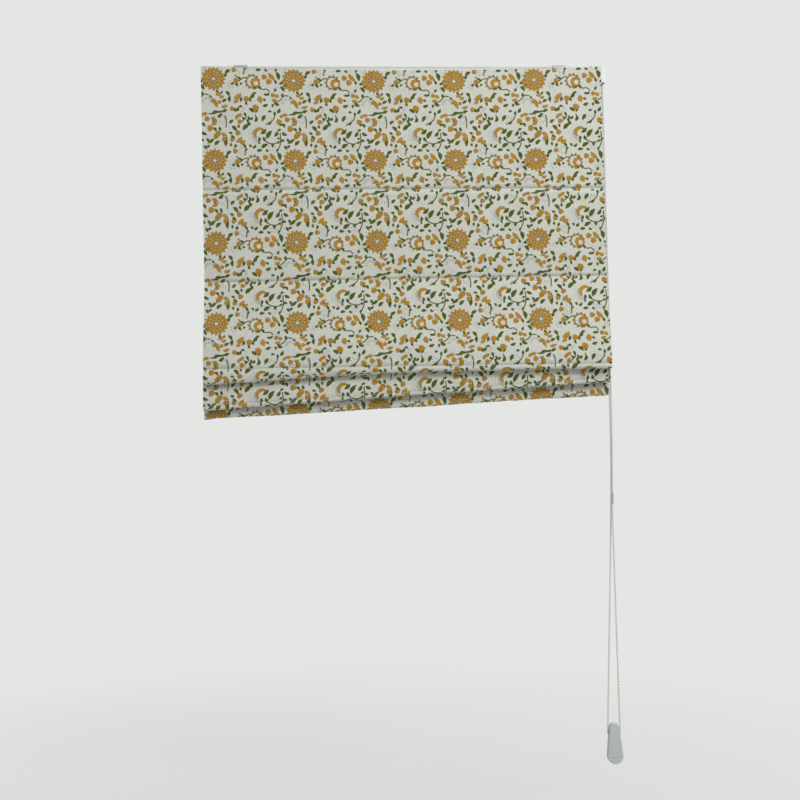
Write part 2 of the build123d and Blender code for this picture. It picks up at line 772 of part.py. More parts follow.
panels = [
    (top_to_1, upper_plane),
    (line_1_to_2, upper_plane),
    (line_2_to_3, upper_plane),
    (line_3_to_4, stack_plane),
    (line_4_to_5, stack_plane),
    (line_5_to_6, stack_plane),
    (line_6_to_hem, stack_plane),
]
panel_sections = [
    [section(edge_plane(side), centre_line(side)) for side in (0, 1)]
    for centre_line, edge_plane in panels
]
with BuildPart() as face_cloth:
    for line in range(1, 7):
        with BuildSketch(line_plane(line, 0)):
            Circle(pocket_outer)
            Circle(pocket_bore, mode=Mode.SUBTRACT)
        extrude(amount=line_length(line, 0))
    with BuildSketch(line_plane("hem", 0)):
        with Locations((0, hem_centre)):
            RectangleRounded(hem_depth, hem_height, hem_depth * 0.45)
            RectangleRounded(
                hem_depth - 2 * cloth,
                hem_height - 2 * cloth,
                (hem_depth - 2 * cloth) * 0.45,
                mode=Mode.SUBTRACT,
            )
    extrude(amount=line_length("hem", 0))
    for edge_sections in panel_sections:
        loft(edge_sections, ruled=True)
    with BuildSketch(Plane.XZ):
        with BuildLine():
            top_left = (cloth_left, cloth_top)
            top_right = (cloth_left + cloth_width, cloth_top)
            ThreePointArc(top_left, (cloth_left + cloth_width / 2, cloth_top - top_sag), top_right)
            Polyline(top_right, (top_right[0], 0), (top_left[0], 0), top_left)
        make_face()
    extrude(amount=rail_depth, both=True, mode=Mode.SUBTRACT)
face_cloth.part.label = "face_cloth"
export_step(face_cloth.part, "parts/face_cloth.step")

# Chain weight: two halves that close round the chain and a steel slug, held by one screw
tilt = radians(weight_tilt)
weight_plane = Plane(origin=post, x_dir=(cos(tilt), 0, sin(tilt)), z_dir=(0, -1, 0))
channel_radius = bead_radius + channel_clearance
weight_foot = weight_shoulder - weight_centres
outline_points = ((0, weight_shoulder), (0, weight_foot))


def weight_outline(plane, inset):
    """Outline of the weight, drawn in by an inset: the hull of a small circle above a large one."""
    with BuildSketch(plane) as outline:
        with Locations(outline_points[0]):
            Circle(weight_top_radius - inset)
        with Locations(outline_points[1]):
            Circle(weight_bottom_radius - inset)
        make_hull()
    return outline.sketch


def slug_outline(plane, inset):
    """The part of the weight's outline below its chain channel, drawn in by an inset."""
    with BuildSketch(plane) as outline:
        add(weight_outline(Plane.XY, inset))
        top = weight_shoulder + weight_top_radius
        with Locations((0, (top - slug_drop - inset) / 2)):
            Rectangle(4 * weight_bottom_radius, top + slug_drop + inset, mode=Mode.SUBTRACT)
    return outline.sketch


for name, way in (("front", 1), ("back", -1)):
    with BuildPart() as weight_half:
        extrude(weight_outline(weight_plane, 0), amount=way * weight_half_thickness)
        outer_face = weight_half.faces().sort_by(Axis.Y)[0 if way > 0 else -1]
        fillet(outer_face.edges(), radius=weight_edge)
        extrude(
            slug_outline(weight_plane, weight_wall),
            amount=way * (weight_half_thickness - weight_wall),
            mode=Mode.SUBTRACT,
        )
        with Locations(weight_plane):
            Torus(
                wheel_pitch_radius,
                channel_radius,
                major_angle=180,
                rotation=(0, 0, 180),
                align=None,
                mode=Mode.SUBTRACT,
            )
            with Locations((wheel_pitch_radius, 0), (-wheel_pitch_radius, 0)):
                Cylinder(
                    channel_radius,
                    2 * weight_top_radius,
                    rotation=(-90, 0, 0),
                    align=(Align.CENTER, Align.CENTER, Align.MIN),
                    mode=Mode.SUBTRACT,
                )
        if name == "front":
            with BuildSketch(weight_plane.offset(weight_half_thickness)):
                with BuildLine():
                    half_line = thumb_line_width / 2
                    ends = ((-half_line, -thumb_line_drop), (half_line, -thumb_line_drop))
                    ThreePointArc(ends[0], (0, -thumb_line_drop - thumb_line_sag), ends[1])
                    ThreePointArc(ends[0], (0, -thumb_line_drop - 2 * thumb_line_sag), ends[1])
                make_face()
            extrude(amount=-thumb_line_depth, mode=Mode.SUBTRACT)
            with Locations(weight_plane):
                pilot = screw_length - (weight_half_thickness - screw_head_height)
                Cylinder(
                    screw_radius,
                    pilot,
                    align=(Align.CENTER, Align.CENTER, Align.MIN),
                    mode=Mode.SUBTRACT,
                )
        else:
            with Locations(weight_plane.offset(-weight_half_thickness)):
                Cylinder(
                    screw_radius + slide_fit,
                    weight_half_thickness,
                    align=(Align.CENTER, Align.CENTER, Align.MIN),
                    mode=Mode.SUBTRACT,
                )
                Cylinder(
                    screw_head_radius + slide_fit,
                    screw_head_height,
                    align=(Align.CENTER, Align.CENTER, Align.MIN),
                    mode=Mode.SUBTRACT,
                )
    weight_half.part.label = f"weight_{name}"
    export_step(weight_half.part, f"parts/weight_{name}.step")

with BuildPart() as weight_slug:
    extrude(
        slug_outline(weight_plane, weight_wall + slide_fit),
        amount=weight_half_thickness - weight_wall - slide_fit,
        both=True,
    )
weight_slug.part.label = "weight_slug"
export_step(weight_slug.part, "parts/weight_slug.step")

with BuildPart() as weight_screw:
    with Locations(weight_plane.offset(-weight_half_thickness)):
        Cylinder(screw_head_radius, screw_head_height, align=(Align.CENTER, Align.CENTER, Align.MIN))
        with Locations((0, 0, screw_head_height)):
            Cylinder(screw_radius, screw_length, align=(Align.CENTER, Align.CENTER, Align.MIN))
        Box(
            2 * screw_radius,
            0.6,
            screw_head_height / 2,
            align=(Align.CENTER, Align.CENTER, Align.MIN),
            mode=Mode.SUBTRACT,
        )
weight_screw.part.label = "weight_screw"
export_step(weight_screw.part, "parts/weight_screw.step")
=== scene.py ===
# %% [markdown]
# A roman blind, half raised
#
# A roman blind is one sheet of cloth with a rod sewn across its back at every fold. Cords lift the lower
# rods, so the cloth hangs in folds, and a loop of beads turns the drums that wind the cords. The solids of
# the blind are loaded as a fixed frame. This lesson dresses them: printed cotton, a bead chain, cords and
# finishes.

import bpy
import numpy as np
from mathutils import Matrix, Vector
from mathutils.geometry import delaunay_2d_cdt


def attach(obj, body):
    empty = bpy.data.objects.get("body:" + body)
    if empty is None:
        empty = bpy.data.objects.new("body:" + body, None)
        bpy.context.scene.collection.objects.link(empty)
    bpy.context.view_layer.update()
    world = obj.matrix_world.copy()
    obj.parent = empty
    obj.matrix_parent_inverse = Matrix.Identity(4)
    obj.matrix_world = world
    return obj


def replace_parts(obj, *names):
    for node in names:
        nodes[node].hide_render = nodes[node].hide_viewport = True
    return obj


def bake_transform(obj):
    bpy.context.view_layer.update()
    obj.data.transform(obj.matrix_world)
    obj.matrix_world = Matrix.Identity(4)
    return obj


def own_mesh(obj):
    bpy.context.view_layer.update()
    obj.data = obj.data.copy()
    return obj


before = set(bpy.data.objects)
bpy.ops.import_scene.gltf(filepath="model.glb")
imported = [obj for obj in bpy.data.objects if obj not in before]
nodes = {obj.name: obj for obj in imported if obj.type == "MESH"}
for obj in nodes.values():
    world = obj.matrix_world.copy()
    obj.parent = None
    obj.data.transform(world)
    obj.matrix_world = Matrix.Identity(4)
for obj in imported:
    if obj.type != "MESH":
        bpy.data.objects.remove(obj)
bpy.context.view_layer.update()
print("solids in the frame:", len(nodes))

# %% [markdown]
# Units
#
# Blender works in metres, and a blind maker works in millimetres. Sizes are written in millimetres and turned
# once, so that they can be read against the real thing.

# %% Units and places taken from the frame
MM = 0.001
RAIL_AXIS = -21 * MM
CLOTH_TOP = -4 * MM
CLOTH_THICKNESS = 1.0 * MM
FACE_Y = -24.2 * MM
STATIONS = {"left": -330 * MM, "centre": 0.0, "right": 330 * MM}
ROD_BODIES = {
    1: "rod_1", 2: "upper_stack", 3: "rod_3", 4: "middle_stack", 5: "rod_5", 6: "bottom_stack",
}


def mm(*values):
    """Millimetres to metres, as one array."""
    return np.array(values, float) * MM


print("stations of the cords, m:", STATIONS)


# %% [markdown]
# The camera
#
# The photograph was taken with a normal lens a good two metres away, at the height of the blind's middle and
# tipped up a little. The beads of the chain give its distance: they are 6 mm apart on the real thing.

# %% Camera
CAMERA_DISTANCE = 2.446
CAMERA_HEIGHT = -0.7917
CAMERA_PITCH = 1.32
camera_data = bpy.data.cameras.new("camera")
camera_data.lens = 50
camera_data.sensor_width = 36
camera = bpy.data.objects.new("camera", camera_data)
camera.location = (0, -CAMERA_DISTANCE, CAMERA_HEIGHT)
camera.rotation_euler = (np.radians(90 + CAMERA_PITCH), 0, 0)
bpy.context.collection.objects.link(camera)
bpy.context.scene.camera = camera
bpy.context.scene.view_settings.view_transform = "Standard"
print("camera", tuple(camera.location))

# %% [markdown]
# Meshes and materials from arrays
#
# Every new piece is a surface worked out with numpy, and goes into Blender in one call. The points are an
# array, and a face is a list of point numbers. The order of the numbers says which side is its front.

# %% Mesh helpers
def new_mesh(name, points, faces, materials, face_materials=None, normals=None, uv=None):
    """Mesh object from arrays: points (n, 3), faces, a material index for each face, a normal and a uv for
    each point."""
    mesh = bpy.data.meshes.new(name)
    faces = faces if isinstance(faces, list) else faces.tolist()
    mesh.from_pydata(np.asarray(points, float).tolist(), [], faces)
    for material in materials:
        mesh.materials.append(material)
    mesh.polygons.foreach_set("use_smooth", np.ones(len(mesh.polygons), bool))
    if face_materials is not None:
        mesh.polygons.foreach_set("material_index", np.asarray(face_materials, np.int32))
    if uv is not None:
        corner = np.empty(len(mesh.loops), np.int32)
        mesh.loops.foreach_get("vertex_index", corner)
        layer = mesh.uv_layers.new(name="cloth")
        layer.uv.foreach_set("vector", np.asarray(uv, np.float32)[corner].ravel())
    mesh.update()
    if normals is not None:
        mesh.normals_split_custom_set_from_vertices(np.asarray(normals, float).tolist())
    piece = bpy.data.objects.new(name, mesh)
    bpy.context.collection.objects.link(piece)
    return piece


def grid_faces(rows, columns, closed=False):
    """Quads of a grid of points in row order; closed joins the last column to the first."""
    r = np.arange(rows - 1)[:, None]
    c = np.arange(columns if closed else columns - 1)[None, :]
    after = (c + 1) % columns
    below = r + 1
    quads = [r * columns + c, r * columns + after, below * columns + after, below * columns + c]
    return np.stack(quads, -1).reshape(-1, 4)


# %% [markdown]
# Tubes
#
# Cords, the chain's string and the rod pockets are tubes: a circle carried along a path. A closed end is a
# fan of triangles about one middle point.

# %% Tube along a path
def tube(path, radius, sides):
    """Points and quads of a tube: at each point of the path, a circle in the plane square to the path, with
    its first axis kept close to the one before by the path's mean direction."""
    path = np.asarray(path, float)
    tangent = np.gradient(path, axis=0)
    tangent /= np.linalg.norm(tangent, axis=1, keepdims=True)
    mean = path[-1] - path[0]
    helper = np.array([1.0, 0, 0]) if abs(mean[0]) < np.linalg.norm(mean) * 0.7 else np.array([0, 0, 1.0])
    across = np.cross(tangent, helper)
    across /= np.linalg.norm(across, axis=1, keepdims=True)
    up = np.cross(tangent, across)
    angle = np.linspace(0, 2 * np.pi, sides, endpoint=False)
    radius = np.broadcast_to(radius, len(path))[:, None, None]
    ring = across[:, None] * np.cos(angle)[None, :, None] + up[:, None] * np.sin(angle)[None, :, None]
    return (path[:, None] + ring * radius).reshape(-1, 3), grid_faces(len(path), sides, closed=True)


def with_caps(points, faces, sides):
    """The same tube closed by a fan at each end."""
    rows = len(points) // sides
    first, last = points[:sides].mean(0), points[-sides:].mean(0)
    points = np.vstack([points, first, last])
    i = np.arange(sides)
    j = (i + 1) % sides
    low = np.stack([i, np.full(sides, len(points) - 2), j, j], -1)
    high = np.stack([(rows - 1) * sides + j, np.full(sides, len(points) - 1), (rows - 1) * sides + i], -1)
    return points, [list(q) for q in faces] + [list(t[:3]) for t in low] + [list(t) for t in high]


print("a tube of 2 rings and 6 sides has", len(tube([(0, 0, 0), (0, 0, 1)], 1.0, 6)[1]), "faces")


# %% [markdown]
# Noise that stays put
#
# Cloth is never flat. Its ripples are sums of a few sine waves with fixed random phases, so every run gives
# the same cloth.

# %% Ripples
def ripple(x, y, wavelength, seed, waves=6):
    """Smooth noise between about -1 and 1: the mean of sine waves with wavelengths near the one given and
    directions and phases drawn from a seeded generator."""
    draw = np.random.default_rng(seed)
    total = np.zeros(np.broadcast(x, y).shape)
    for turn, phase, stretch in zip(draw.uniform(0, np.pi, waves), draw.uniform(0, 6.28, waves),
                                    draw.uniform(0.7, 1.5, waves)):
        total += np.sin((x * np.cos(turn) + y * np.sin(turn)) * 2 * np.pi / (wavelength * stretch) + phase)
    return total / np.sqrt(waves)


print("ripple at three places:", ripple(np.arange(3) * 40.0, 0.0, 190, 11).round(2))

# %% [markdown]
# Colours and shader nodes
#
# Every finish is a small tree of shader nodes. Colours are written as sRGB hex, as a paint maker gives
# them, and turned to linear light once. One helper adds a node with its settings and links.

# %% Node helper and colours
def linear(hex_colour):
    """sRGB hex to linear RGBA: each channel c becomes ((c + 0.055) / 1.055) to the power 2.4."""
    channels = [int(hex_colour[i:i + 2], 16) / 255 for i in (1, 3, 5)]
    return tuple(c / 12.92 if c <= 0.04045 else ((c + 0.055) / 1.055) ** 2.4 for c in channels) + (1.0,)


def add_node(material, kind, settings=None, links=None):
    """One shader node: settings are properties or input values by name, links join inputs to other nodes'
    outputs, given as (node, output name)."""
    node = material.node_tree.nodes.new(kind)
    for name, value in (settings or {}).items():
        if name in node.inputs.keys():
            node.inputs[name].default_value = value
        else:
            setattr(node, name, value)
    for name, (source, output) in (links or {}).items():
        material.node_tree.links.new(source.outputs[output], node.inputs[name])
    return node


def new_material(name, settings):
    """An empty material with its Principled shader, whose constant values are set on its own sockets."""
    material = bpy.data.materials.new(name)
    material.use_nodes = True
    shader = material.node_tree.nodes["Principled BSDF"]
    for key, value in settings.items():
        shader.inputs[key].default_value = value
    return material, shader


def colour_ramp(material, source, output, stops):
    """A ramp of sRGB hex colours at places from 0 to 1."""
    ramp = add_node(material, "ShaderNodeValToRGB", links={"Fac": (source, output)})
    elements = ramp.color_ramp.elements
    for (place, colour), element in zip(stops, elements):
        element.position, element.color = place, linear(colour)
    for place, colour in stops[len(elements):]:
        elements.new(place).color = linear(colour)
    return ramp


print("mid grey in linear light:", round(linear("#808080")[0], 3))


# %% [markdown]
# The bead chain
#
# The control's chain is a string of moulded beads, 4.5 mm across and 6 mm apart, joined into a loop. It
# comes down from the front of the wheel, round the post inside the weight, and back up to the rear of the
# wheel. The weight keeps it straight. Its route is a smooth curve through a few points, and the beads sit
# along that curve.

# %% Route of the chain
CHAIN_X = 445.0
WHEEL_RADIUS = 13.369
BEAD_PITCH = 6.0
BEAD_DIAMETER = 4.6
STRING_RADIUS = 0.6
POST = (466.3, -8.0, -1454.0)
chain_points = [
    (CHAIN_X, -WHEEL_RADIUS, -21),
    (464.6, -11.3, -760),
    (464.6, -11.3, -950),
    (464.6, -11.3, -985),
    (POST[0] + WHEEL_RADIUS, POST[1], POST[2]),
    (POST[0] + WHEEL_RADIUS, POST[1], POST[2] - WHEEL_RADIUS),
    (POST[0] - WHEEL_RADIUS, POST[1], POST[2] - WHEEL_RADIUS),
    (POST[0] - WHEEL_RADIUS, POST[1], POST[2]),
    (463.2, -4.7, -985),
    (463.2, -4.7, -760),
    (CHAIN_X, WHEEL_RADIUS, -21),
]


def smooth_route(name, points):
    """Points along a NURBS spline of order 3 that has the given control points, in metres."""
    curve = bpy.data.curves.new(name, "CURVE")
    curve.dimensions = "3D"
    curve.resolution_u = 48
    spline = curve.splines.new("NURBS")
    spline.points.add(len(points) - 1)
    spline.points.foreach_set("co", np.hstack([mm(*points), np.ones((len(points), 1))]).ravel())
    spline.order_u = 3
    spline.use_endpoint_u = True
    carrier = bpy.data.objects.new(name, curve)
    bpy.context.collection.objects.link(carrier)
    line = bpy.data.meshes.new_from_object(carrier)
    path = np.empty(len(line.vertices) * 3)
    line.vertices.foreach_get("co", path)
    bpy.data.objects.remove(carrier)
    bpy.data.meshes.remove(line)
    return path.reshape(-1, 3)


def evenly_along(path, pitch):
    """Points every pitch along a path: the running length is divided and each coordinate read off at it."""
    length = np.concatenate([[0], np.cumsum(np.linalg.norm(np.diff(path, axis=0), axis=1))])
    places = np.arange(pitch / 2, length[-1], pitch)
    return np.stack([np.interp(places, length, path[:, i]) for i in range(3)], -1), length[-1]


chain_path = smooth_route("chain_route", chain_points)
beads, chain_length = evenly_along(chain_path, BEAD_PITCH * MM)
wheel_angle = np.linspace(0, np.pi, 24)
over_wheel = mm(CHAIN_X, 0, 0) + np.stack([
    np.zeros(24),
    WHEEL_RADIUS * MM * np.cos(wheel_angle),
    RAIL_AXIS + WHEEL_RADIUS * MM * np.sin(wheel_angle),
], -1)
wheel_beads, _ = evenly_along(over_wheel, BEAD_PITCH * MM)
print("chain", round(chain_length, 4), "m,", len(beads) + len(wheel_beads), "beads")

# %% [markdown]
# Beads and string
#
# A bead is a small ball, so a few dozen faces are enough. A braided string runs through all of them. The
# beads are moulded in white acetal, which is a little milky.

# %% Beads and string
def bead_shape(radius, rings=5, sides=8):
    """A ball with closed poles: x = r sin(a) cos(b), y = r sin(a) sin(b), z = r cos(a)."""
    a = np.linspace(0, np.pi, rings + 2)[1:-1, None]
    b = np.linspace(0, 2 * np.pi, sides, endpoint=False)[None]
    ball = np.stack([np.sin(a) * np.cos(b), np.sin(a) * np.sin(b), np.cos(a) * np.ones_like(b)], -1)
    points = np.vstack([ball.reshape(-1, 3), [[0, 0, 1], [0, 0, -1]]]) * radius
    quads = grid_faces(rings, sides, closed=True)[:, ::-1].tolist()
    top, foot = len(points) - 2, len(points) - 1
    i = np.arange(sides)
    j = (i + 1) % sides
    base = (rings - 1) * sides
    caps = [[top, p, q] for p, q in zip(i, j)] + [[foot, base + q, base + p] for p, q in zip(i, j)]
    return points, quads, caps


def chain_mesh(name, path, centres, materials):
    """Beads at the centres and a thin six-sided string along the path, in one mesh."""
    ball, quads, caps = bead_shape(BEAD_DIAMETER / 2 * MM)
    points = [(centres[:, None] + ball[None]).reshape(-1, 3)]
    faces = []
    for i in range(len(centres)):
        shift = i * len(ball)
        faces += [[p + shift for p in face] for face in quads + caps]
    string_points, string_faces = tube(path, STRING_RADIUS * MM, 6)
    faces += (string_faces + len(centres) * len(ball)).tolist()
    points.append(string_points)
    is_string = [0] * (len(faces) - len(string_faces)) + [1] * len(string_faces)
    return new_mesh(name, np.vstack(points), faces, materials, is_string)


def bead_plastic():
    """Polyacetal, injection moulded in white and a little milky, with a soft gloss and a faint yellow."""
    material, shader = new_material("acetal_bead_plastic", {
        "Roughness": 0.32, "IOR": 1.48, "Subsurface Weight": 0.12, "Subsurface Scale": 0.002,
    })
    place = add_node(material, "ShaderNodeTexCoord")
    mottle = add_node(material, "ShaderNodeTexNoise", {"Scale": 90.0, "Detail": 3.0},
                      {"Vector": (place, "Object")})
    ramp = colour_ramp(material, mottle, "Fac", [(0.3, "#D3D7D0"), (0.7, "#E0E4DE")])
    material.node_tree.links.new(ramp.outputs["Color"], shader.inputs["Base Color"])
    grain = add_node(material, "ShaderNodeBump", {"Strength": 0.15, "Distance": 0.0002},
                     {"Height": (mottle, "Fac")})
    material.node_tree.links.new(grain.outputs["Normal"], shader.inputs["Normal"])
    return material


def twisted_cord_finish(name, colour, shade):
    """Braided polyester cord: a diagonal wave gives the plait, 1.2 mm a turn, matt with a little sheen. The
    darker tone is painted shade, laid in the plait's grooves.
    """
    material, shader = new_material(name, {"Roughness": 0.7, "Sheen Weight": 0.2})
    place = add_node(material, "ShaderNodeTexCoord")
    plait = add_node(material, "ShaderNodeTexWave", {
        "Scale": 262.0, "Distortion": 1.5, "bands_direction": "DIAGONAL",
    }, {"Vector": (place, "Object")})
    # painted shade: the low grooves of the plait take the darker tone
    ramp = colour_ramp(material, plait, "Fac", [(0.2, shade), (0.8, colour)])
    material.node_tree.links.new(ramp.outputs["Color"], shader.inputs["Base Color"])
    bump = add_node(material, "ShaderNodeBump", {"Strength": 0.4, "Distance": 0.0003},
                    {"Height": (plait, "Fac")})
    material.node_tree.links.new(bump.outputs["Normal"], shader.inputs["Normal"])
    return material


# %% [markdown]
# The chain in its place
#
# The long run of the chain replaces the plain loop of the frame. The half turn over the wheel is a second
# piece.

# %% Chain on the control
bead_material = bead_plastic()
string_material = twisted_cord_finish("chain_string_polyester", "#DAD9D2", "#B9B8AF")
chain = chain_mesh("chain_of_beads", chain_path, beads, [bead_material, string_material])
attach(chain, "headrail")
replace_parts(chain, "bead_chain")
chain_on_wheel = chain_mesh("chain_over_wheel", over_wheel, wheel_beads, [bead_material, string_material])
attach(chain_on_wheel, "headrail")
print("chain faces", len(chain.data.polygons))

# %% [markdown]
# Where the cloth runs
#
# The face cloth is one sheet. Between two rod lines it is a panel with a curve of its own: nearly flat
# above, rolled forward and back below, where the blind is gathered up. A panel's shape is given by its
# centre line at the left edge and at the right edge, and the surface runs straight from one to the other.

# %% Rod lines
LINE_MEAN = {1: -274.0, 2: -471.0, 3: -664.3, 4: -524.0, 5: -719.65, 6: -540.0, "hem": -752.0}
LINE_RISE = {1: 5.2, 2: 15.8, 3: 12.9, 4: 62.0, 5: 62.0, 6: 62.0, "hem": 52.5}
ROD_BACK, ROD_FRONT, ROD_REAR, HEM_Y = -19.9, -57.9, -42.9, -27.2
LINE_Y = {1: ROD_BACK, 2: ROD_BACK, 3: ROD_FRONT, 4: ROD_BACK, 5: ROD_REAR, 6: ROD_BACK, "hem": HEM_Y}
CLOTH_LEFT, CLOTH_RIGHT = -437.5, 441.0
STACK_LEFT, STACK_RIGHT = -425.4, 455.5
CLOTH_SKEW = np.radians(1.28)
TOP_SAG = 8.0
TOP_PANEL, PANEL = 270.0, 197.0
POCKET = 2.8
HEM_HEIGHT = 29.4
HEM_HALF_DEPTH = 2.65
BULGE, LIP = 2.6, 0.6
ROLL = (34.0, 10.0)


def line_z(line, side):
    """Height of a rod line at the cloth's left edge (side 0) or right edge (side 1)."""
    return LINE_MEAN[line] + (side - 0.5) * LINE_RISE[line]


def edge_x(line, side):
    """Where the cloth's edge crosses a line: it leans with the skew above the stack and hangs plumb in it."""
    if line in (0, 1, 2, 3):
        height = -CLOTH_TOP / MM if line == 0 else -LINE_MEAN[line]
        return (CLOTH_RIGHT if side else CLOTH_LEFT) + height * np.tan(CLOTH_SKEW)
    return STACK_RIGHT if side else STACK_LEFT


def on_pocket(line, side, angle):
    """Point in the middle of a pocket's wall, at an angle from the back towards the top."""
    turn = np.radians(angle)
    return (LINE_Y[line] + POCKET * np.cos(turn), line_z(line, side) + POCKET * np.sin(turn))


print("rod lines at the left edge, mm:", {line: round(line_z(line, 0), 1) for line in LINE_MEAN})

# %% [markdown]
# Centre lines
#
# Each panel has a few points in the plane of depth and height, from the rod line above it to the one below.
# The points are the same at both edges, apart from the height of the lines and the size of the roll.

# %% Centre lines of the seven panels
def top_to_1(side):
    """The upper panel hangs from the rail and swells a little in front of rod 1."""
    z = line_z(1, side)
    y = FACE_Y / MM
    return [(y, -4), (y, -38), (y - 0.4 * BULGE, -139), (y - 0.8 * BULGE, z + 40), (y - BULGE, z + 14),
            (y - BULGE + LIP, z + 5), on_pocket(1, side, 172)]


def line_1_to_2(side):
    """A flat panel with a lip over each pocket."""
    a, b = line_z(1, side), line_z(2, side)
    y = FACE_Y / MM
    return [on_pocket(1, side, 188), (y - 0.5 * BULGE, a - 5), (y - 0.8 * BULGE, a - 24),
            (y - 0.8 * BULGE, (a + b) / 2), (y - BULGE, b + 14), (y - BULGE + LIP, b + 5),
            on_pocket(2, side, 172)]


def line_2_to_3(side):
    """The panel above the stack leans out to rod 3, which the gathered cloth pushes forward."""
    a, b = line_z(2, side), line_z(3, side)
    y = FACE_Y / MM - BULGE
    reach = ROD_BACK - ROD_FRONT
    return [on_pocket(2, side, 188), (y + 0.5 * BULGE, a - 5), (y - 0.1 * reach, a - 24),
            (y - 0.5 * reach, (a + b) / 2), (y - 0.94 * reach, b + 14), (y - 0.97 * reach + LIP, b + 5),
            on_pocket(3, side, 172)]


def line_3_to_4(side):
    """Below rod 3 the cloth rolls under and goes up behind, to rod 4."""
    a, b = line_z(3, side), line_z(4, side)
    roll = ROLL[side]
    return [on_pocket(3, side, 188), (ROD_FRONT - 5.0, a - 0.3 * roll), (ROD_FRONT - 4.0, a - 0.75 * roll),
            (ROD_FRONT + 1.2, a - roll), (ROD_FRONT + 6.2, a - 0.7 * roll), (ROD_FRONT + 8.4, a + 10),
            (ROD_BACK - 17.1, (a + b) / 2), (ROD_BACK - 8.8, b - 16), on_pocket(4, side, 195)]


def line_4_to_5(side):
    """From rod 4 the cloth comes down inside the first roll, to rod 5."""
    a, b = line_z(4, side), line_z(5, side)
    return [on_pocket(4, side, 250), (ROD_BACK - 3.3, a - 8), (ROD_BACK - 5.0, a - 18),
            (ROD_BACK - 8.4, a - 36), (ROD_BACK - 18.4, (a + b) / 2), (ROD_REAR - 4.2, b + 14),
            (ROD_REAR - 4.3, b + 5), on_pocket(5, side, 172)]


def line_5_to_6(side):
    """Round rod 5 and up again behind, to rod 6, where the cords are tied."""
    a, b = line_z(5, side), line_z(6, side)
    return [on_pocket(5, side, 188), (ROD_REAR - 3.9, a - 4.5), (ROD_REAR + 0.4, a - 8),
            (ROD_REAR + 4.6, a - 4), (ROD_REAR + 5.4, a + 8), (ROD_BACK - 12.65, (a + b) / 2),
            (ROD_BACK - 5.4, b - 18), on_pocket(6, side, 195)]


def line_6_to_foot(side):
    """The flap hangs behind the rolls, and its foot is turned up at the back round the bottom bar."""
    a, b = line_z(6, side), line_z("hem", side)
    front, back = HEM_Y - HEM_HALF_DEPTH, HEM_Y + HEM_HALF_DEPTH
    return [on_pocket(6, side, 250), (ROD_BACK - 1.9, a - 10), (ROD_BACK - 2.8, a - 30),
            ((ROD_BACK + HEM_Y) / 2 - 2, (a + b + HEM_HEIGHT) / 2), (HEM_Y - 0.4, b + HEM_HEIGHT + 16),
            (front + 0.3, b + HEM_HEIGHT + 1), (front, b + HEM_HEIGHT - 4), (front, b + 3.2),
            (front + 0.9, b + 0.9), (HEM_Y, b + 0.4), (back - 0.9, b + 0.9), (back, b + 3.2),
            (back, b + HEM_HEIGHT - 4), (HEM_Y + 1.9, b + HEM_HEIGHT)]


print("roll at rod 3, left edge:", len(line_3_to_4(0)), "points")

# %% [markdown]
# A smooth line and a surface
#
# A cubic curve runs through the points of a centre line. The surface of a panel then runs straight across
# from the left line to the right one. Ripples, puckers and the doubled side hems are added along its
# normal.

# %% Smooth line
def through(points, count=360):
    """A smooth line through a few points: between two points it is a cubic whose slope at each is that of the
    chord from the point before to the point after. It is returned evenly spaced, with its length."""
    p = np.asarray(points, float)
    chord = np.linalg.norm(np.diff(p, axis=0), axis=1)
    knot = np.concatenate([[0], np.cumsum(chord)])
    slope = np.gradient(p, knot, axis=0)
    place = np.linspace(0, knot[-1], count * 3)
    i = np.clip(np.searchsorted(knot, place, side="right") - 1, 0, len(chord) - 1)
    t = ((place - knot[i]) / chord[i])[:, None]
    h = chord[i][:, None]
    line = ((2 * t**3 - 3 * t**2 + 1) * p[i] + (t**3 - 2 * t**2 + t) * h * slope[i]
            + (3 * t**2 - 2 * t**3) * p[i + 1] + (t**3 - t**2) * h * slope[i + 1])
    length = np.concatenate([[0], np.cumsum(np.linalg.norm(np.diff(line, axis=0), axis=1))])
    even = np.linspace(0, length[-1], count)
    return np.stack([np.interp(even, length, line[:, k]) for k in (0, 1)], -1), length[-1]


print("roll at rod 3, left edge:", round(through(line_3_to_4(0))[1], 1), "mm of cloth")

# %% [markdown]
# A panel's surface
#
# Points and normals are worked out for whole arrays of places at once. The normal comes from short steps
# across and down the surface, and is then tipped by the slope of the ripples.

